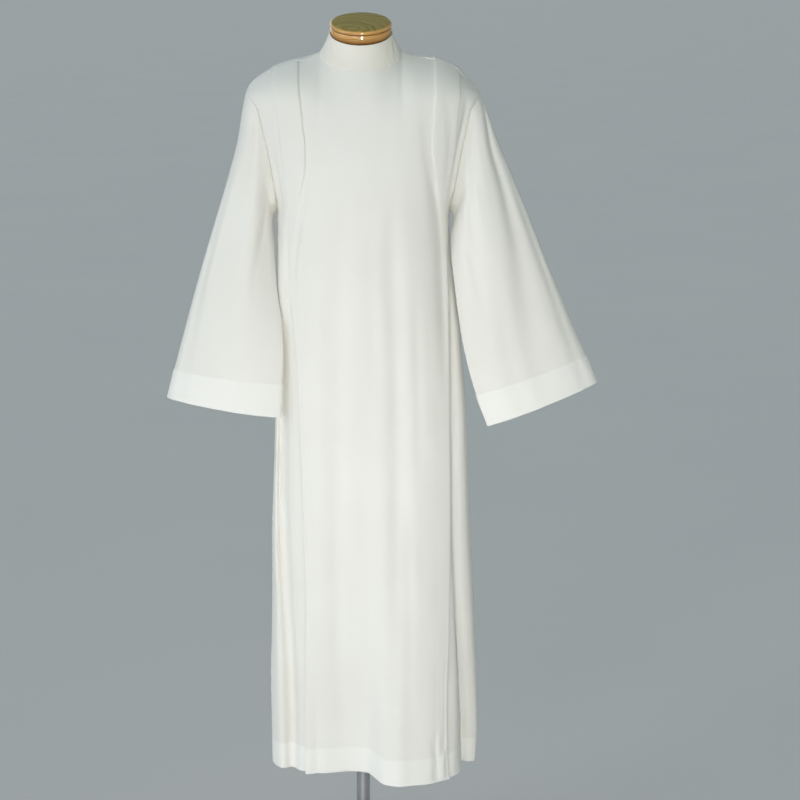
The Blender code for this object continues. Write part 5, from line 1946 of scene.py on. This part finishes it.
@dataclass
class Collar:
    """The stand collar, stiffened, its ends lapped at the back."""

    body: BodyShape
    cut: SheetCut = SheetCut(0.559, 0.050, 0.0237, ("form_torso",))
    columns: int = 170
    rows: int = 24
    foot_insets: tuple[float, ...] = (1.2, 0.4)
    top_inset: float = 0.5
    top_radius: float = 62.4
    top_depth: float = 60.0
    top_middle: Pair = (-12.0, 1738.5)
    top_tilt: float = 0.42
    lift: float = -2.0
    stand: float = 1.7
    bulge: float = 1.6
    lap_angle: float = math.radians(15.0)
    lap_start: float = math.radians(140.0)
    lap_rise: float = 2.7
    thick: float = 1.6
    height: float = 60.0
    run_unit: float = 1.3
    foot_seam: SeamLook = SeamLook(9.0, 0.4)
    seed: int = 5
    ripple_unit: float = 3.0
    unevenness: float = 0.25
    stitch_row: int = 5

    def foot(self, turn: Array) -> Array:
        """Give the neckline at turns from the front's middle.

        Args:
            turn: The turns.

        Returns:
            The points.
        """
        front = self.body.neckline(np.abs(np.cos(turn)), front=True)
        back = self.body.neckline(np.abs(np.cos(turn)), front=False)
        y, z = [np.where(np.cos(turn) > 0, ahead, behind) for ahead, behind in zip(front, back)]
        return np.stack([self.body.neck_half * np.sin(turn), y, z], 1)

    def lay(self) -> Array:
        """Lay the collar from its foot up, from one lapped end to the other.

        Returns:
            The grid of its points.
        """
        end = math.pi + self.lap_angle
        turn = np.linspace(-end, end, self.columns)
        bottom = self.foot(turn)
        top_y = -self.top_depth * np.cos(turn)
        top_z = self.top_middle[1] + top_y * self.top_tilt
        top = np.stack([self.top_radius * np.sin(turn), self.top_middle[0] + top_y, top_z], 1)
        start = bottom + unit(top - bottom) * self.lift
        out = np.stack([np.sin(turn), -np.cos(turn), np.zeros(self.columns)], 1)
        lap = self.lap_rise * blend(self.lap_start, math.pi - self.lap_angle, turn)
        along = np.degrees(turn)
        shares = np.concatenate([np.zeros(len(self.foot_insets)), np.linspace(0, 1, self.rows), [1.0]])
        insets = np.concatenate([self.foot_insets, np.zeros(self.rows), [self.top_inset]])
        rows = []
        for share, inset in zip(shares, insets):
            level = np.full(self.columns, share * self.height)
            press = relief(along, level, COLLAR_CREASES)
            press += self.foot_seam.press(level, along * self.run_unit)
            press += ripple(along * self.run_unit, level * self.ripple_unit, self.seed, self.unevenness)
            proud = self.stand * (1 - share) ** 3 - self.bulge * math.sin(math.pi * share)
            rows.append(start + (top - start) * share + out * (lap + proud - press - inset)[:, None])
        grid = np.array(rows)
        grid[-1] += UP * self.top_inset
        return grid

    def build(self) -> None:
        """Make the collar and the stitches along its foot."""
        grid = self.lay()
        row = self.stitch_row
        out = unit(np.cross(np.gradient(grid[row], axis=0), grid[row + 1] - grid[row - 1]))
        ClothSheet("collar", grid, self.cut, self.thick, StiffClothFinish).build([(grid[row], out)])


@dataclass(frozen=True)
class Turned:
    """A round body drawn up ring by ring from its foot, with its profile as (radius, height)."""

    name: str
    profile: Pairs
    sides: int
    slot: str
    node: str
    smooth: float = math.radians(32.0)

    def build(self, material: Material, tilt: float = 0.0, place: Point = (0.0, 0.0, 0.0)) -> None:
        """Make the body by extruding and scaling a disc, attach it to the body and hide the CAD node it
        stands for.

        Args:
            material: Its finish.
            tilt: Its turn about X.
            place: Where its own origin goes.
        """
        (radius, height), *rings = [(wide * MM, high * MM) for wide, high in self.profile]
        clear_selection()
        bpy.ops.mesh.primitive_circle_add(vertices=self.sides, radius=radius, fill_type="NGON",
                                          location=(0, 0, 0))
        thing = bpy.context.object
        thing.name = self.name
        bpy.ops.object.mode_set(mode="EDIT")
        bpy.ops.mesh.select_all(action="SELECT")
        bpy.ops.transform.translate(value=(0, 0, height))
        for wide, high in rings:
            bpy.ops.mesh.extrude_region_move(TRANSFORM_OT_translate={"value": (0, 0, high - height)})
            share = wide / radius
            bpy.ops.transform.resize(value=(share, share, 1), center_override=(0, 0, high))
            radius = wide
            height = high
        bpy.ops.mesh.select_all(action="SELECT")
        bpy.ops.mesh.normals_make_consistent(inside=False)
        if tilt:
            bpy.ops.transform.rotate(value=-tilt, orient_axis="X", center_override=(0, 0, 0))
        bpy.ops.transform.translate(value=place)
        bpy.ops.object.mode_set(mode="OBJECT")
        bpy.ops.object.shade_smooth_by_angle(angle=self.smooth)
        thing.data.materials.clear()
        thing.data.materials.append(material)
        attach(thing, BODY_NAME)
        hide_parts(self.node)
        LOG.info("%s: %d faces", thing.name, len(thing.data.polygons))


@dataclass(frozen=True)
class DressForm:
    """The limbless form under the robe: its torso, its neck cap, its pole and its base."""

    cap_tilt: float = math.radians(17.8)
    cap_place: Point = (0.0, -0.017, 1.757)
    cap: Turned = Turned("neck_cap_turned", (
        (56, -25.5), (59, -25.2), (60.2, -24.2), (60.6, -22.5), (61.2, -19), (61.6, -16), (61.7, -14),
        (61.5, -12), (61.1, -10.3), (60.6, -9), (60.2, -7.8), (59.9, -6.9), (59.7, -6.1), (59.9, -5.5),
        (60.4, -5), (61, -4.6), (61.5, -4.1), (61.8, -3.6), (62, -2.9), (61.9, -1.8), (61.6, -0.8),
        (61.1, 0.2), (60.3, 1.1), (59.2, 1.9), (57.5, 2.6), (55, 3.1), (40, 3.3), (15, 3.5),
    ), 128, "varnished_wood", "neck_cap")
    pole: Turned = Turned("stand_pole", (
        (17, 21), (18, 22), (18, 29), (17, 30), (14.2, 30.5), (14, 34), (14, 860), (14.5, 861.5),
        (29, 865), (30, 866.5), (30, 888.5), (29, 889.4),
    ), 64, "pole_steel", "pole")
    base: Turned = Turned("stand_base", (
        (160, 0), (163.5, 0.8), (164.8, 2.5), (165, 5), (165, 10.5), (164.3, 13), (162, 14.7),
        (158, 15.5), (120, 18), (60, 19.8), (40, 20.4), (20, 20.5),
    ), 128, "base_paint", "base")

    def build(self) -> None:
        """Dress the torso and make the turned parts."""
        linen = LinenFinish("form_linen").build()
        for slot in bpy.data.objects["form_torso"].material_slots:
            slot.material = linen
        wood = WoodFinish("cap_wood", tilt=self.cap_tilt, middle=self.cap_place).build()
        self.cap.build(wood, self.cap_tilt, self.cap_place)
        self.pole.build(MetalFinish("stand_steel").build())
        self.base.build(PaintFinish("stand_paint").build())


@dataclass(frozen=True)
class Lamp:
    """A light of the studio: its name, strength and colour."""

    name: str
    strength: float
    colour: Point

    def hang(self, kind: str, way: Vector) -> Object:
        """Put the light in the scene.

        Args:
            kind: Blender's name for its kind.
            way: Where it shines.

        Returns:
            The light's object.
        """
        data = bpy.data.lights.new(self.name, kind)
        data.energy = self.strength
        data.color = self.colour
        lamp = link(self.name, data)
        lamp.rotation_euler = way.to_track_quat("-Z", "Y").to_euler()
        return lamp


@dataclass(frozen=True)
class SoftBox(Lamp):
    """A square light: its place, aim, side and spread, and whether it lights more than varnish."""

    place: Point
    aim: Point
    side: float
    spread: float = 180.0
    lights_cloth: bool = True

    def build(self) -> None:
        """Make the light."""
        lamp = self.hang("AREA", Vector(self.aim) - Vector(self.place))
        lamp.location = self.place
        lamp.visible_diffuse = self.lights_cloth
        lamp.data.shape = "SQUARE"
        lamp.data.size = self.side
        lamp.data.spread = math.radians(self.spread)


@dataclass(frozen=True)
class Daylight(Lamp):
    """An even soft light from far off: its bearing from the front, its height and its width, in degrees."""

    bearing: float
    height: float
    width: float

    def build(self) -> None:
        """Make the light."""
        turn = math.radians(self.bearing)
        rise = math.radians(self.height)
        level = math.cos(rise)
        way = Vector((-math.sin(turn) * level, math.cos(turn) * level, -math.sin(rise)))
        self.hang("SUN", way).data.angle = math.radians(self.width)


@dataclass(frozen=True)
class Studio:
    """The floor, the light and the camera."""

    lamps: tuple[Daylight | SoftBox, ...] = (
        Daylight("key", 0.74, (1.0, 0.992, 0.975), -20.0, 2.0, 24.0),
        Daylight("side", 0.78, (0.88, 0.965, 1.11), -62.0, 8.0, 50.0),
        Daylight("rear", 0.48, (0.96, 0.98, 1.0), 200.0, 20.0, 60.0),
        SoftBox("front", 9.5, (1.0, 0.976, 0.940), (0.05, -4.75, 0.55), (0.0, 0.0, 0.96), 0.3, 60.0),
        SoftBox("glint", 120.0, (1.0, 0.99, 0.96), (0.40, -4.9, 1.90), (0.0, 0.0, 1.7), 0.3,
                lights_cloth=False),
    )
    horizon: Colour = (1.0, 0.985, 0.95, 1.0)
    zenith: Colour = (0.32, 0.48, 0.52, 1.0)
    air_range: Pair = (0.05, 0.75)
    shade: Colour = (0.42, 0.34, 0.27, 1.0)
    shade_above: Colour = (0.93, 0.93, 0.91, 1.0)
    shade_reach: float = 0.9
    shade_rise: float = 0.5
    air_strength: float = 0.61
    floor_size: float = 800.0
    camera_place: Point = (0.078, -4.6, 1.859)
    camera_tilt: float = math.radians(90.0 - 10.7)
    lens: float = 102.2
    sensor: float = 36.0

    def build(self) -> None:
        """Make the floor, the lights and the camera."""
        self.build_floor()
        for lamp in self.lamps:
            lamp.build()
        self.build_air()
        self.build_camera()

    def build_floor(self) -> None:
        """Make the floor, which belongs to the studio and not to the part."""
        clear_selection()
        bpy.ops.mesh.primitive_plane_add(size=self.floor_size, location=(0, 0, 0))
        floor = bpy.context.object
        floor.name = "studio_floor"
        floor.data.materials.append(FloorFinish("studio_pale").build())

    def build_camera(self) -> None:
        """Make the camera and take it into use."""
        data = bpy.data.cameras.new("studio_camera")
        data.sensor_width = self.sensor
        data.lens = self.lens
        camera = link("studio_camera", data)
        camera.location = self.camera_place
        camera.rotation_euler = (self.camera_tilt, 0.0, 0.0)
        bpy.context.scene.camera = camera
        bpy.context.scene.view_settings.view_transform = "Standard"

    def build_air(self) -> None:
        """Make the soft light all round: pale level with the robe, cooler overhead, shaded on one side."""
        world = bpy.data.worlds.new("studio_air")
        world.use_nodes = True
        nodes = Nodes(world.node_tree)
        way = nodes.add("TexCoord").outputs["Generated"]
        parts = nodes.add("SeparateXYZ", {0: way}).outputs
        ramp = nodes.add("ValToRGB", {0: parts["Z"]})
        colours = (self.horizon, self.zenith)
        for element, colour, place in zip(ramp.color_ramp.elements, colours, self.air_range):
            element.color = colour
            element.position = place
        side = nodes.levels(parts["X"], 0.0, self.shade_reach)
        above = nodes.levels(parts["Z"], 0.0, self.shade_rise)
        wall = nodes.mixed(above, self.shade, self.shade_above)
        shaded = nodes.mixed(side, ramp.outputs[0], wall, blend_type="MULTIPLY")
        air = nodes.tree.nodes["Background"]
        nodes.set(air.inputs["Color"], shaded)
        nodes.set(air.inputs["Strength"], self.air_strength)
        bpy.context.scene.world = world


class Alb:
    """The whole robe: its front, back, sleeves with their cuffs, collar and stitching."""

    def __init__(self) -> None:
        """Set the robe's shape and its pieces, in sewing order."""
        front = BodyShape(Face.FRONT)
        back = BodyShape(Face.BACK)
        holes = ("robe_front", "robe_back")
        self.pieces = (
            FrontPanel(front, Layers()),
            BackPanel(back, Layers()),
            Sleeve(front, back, "right", SLEEVE_RIGHT, FRONT_RIGHT, SLEEVE_RIGHT_FOLDS,
                   SLEEVE_RIGHT_CREASES, 31, SheetCut(0.606, 0.547, 0.224, holes),
                   SheetCut(0.531, 0.065, 0.0338, ("robe_sleeve_right",))),
            Sleeve(front, back, "left", SLEEVE_LEFT, FRONT_LEFT, SLEEVE_LEFT_FOLDS,
                   SLEEVE_LEFT_CREASES, 37, SheetCut(0.592, 0.556, 0.254, holes),
                   SheetCut(0.532, 0.065, 0.0344, ("robe_sleeve_left",))),
            Collar(front),
        )

    def build(self) -> None:
        """Make every piece of the robe."""
        for piece in self.pieces:
            piece.build()


def main() -> None:
    """Build the robe, its form and the studio."""
    logging.basicConfig(level=logging.INFO, format="%(name)s: %(message)s")
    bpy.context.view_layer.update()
    Alb().build()
    DressForm().build()
    Studio().build()


if __name__ == "__main__":
    main()
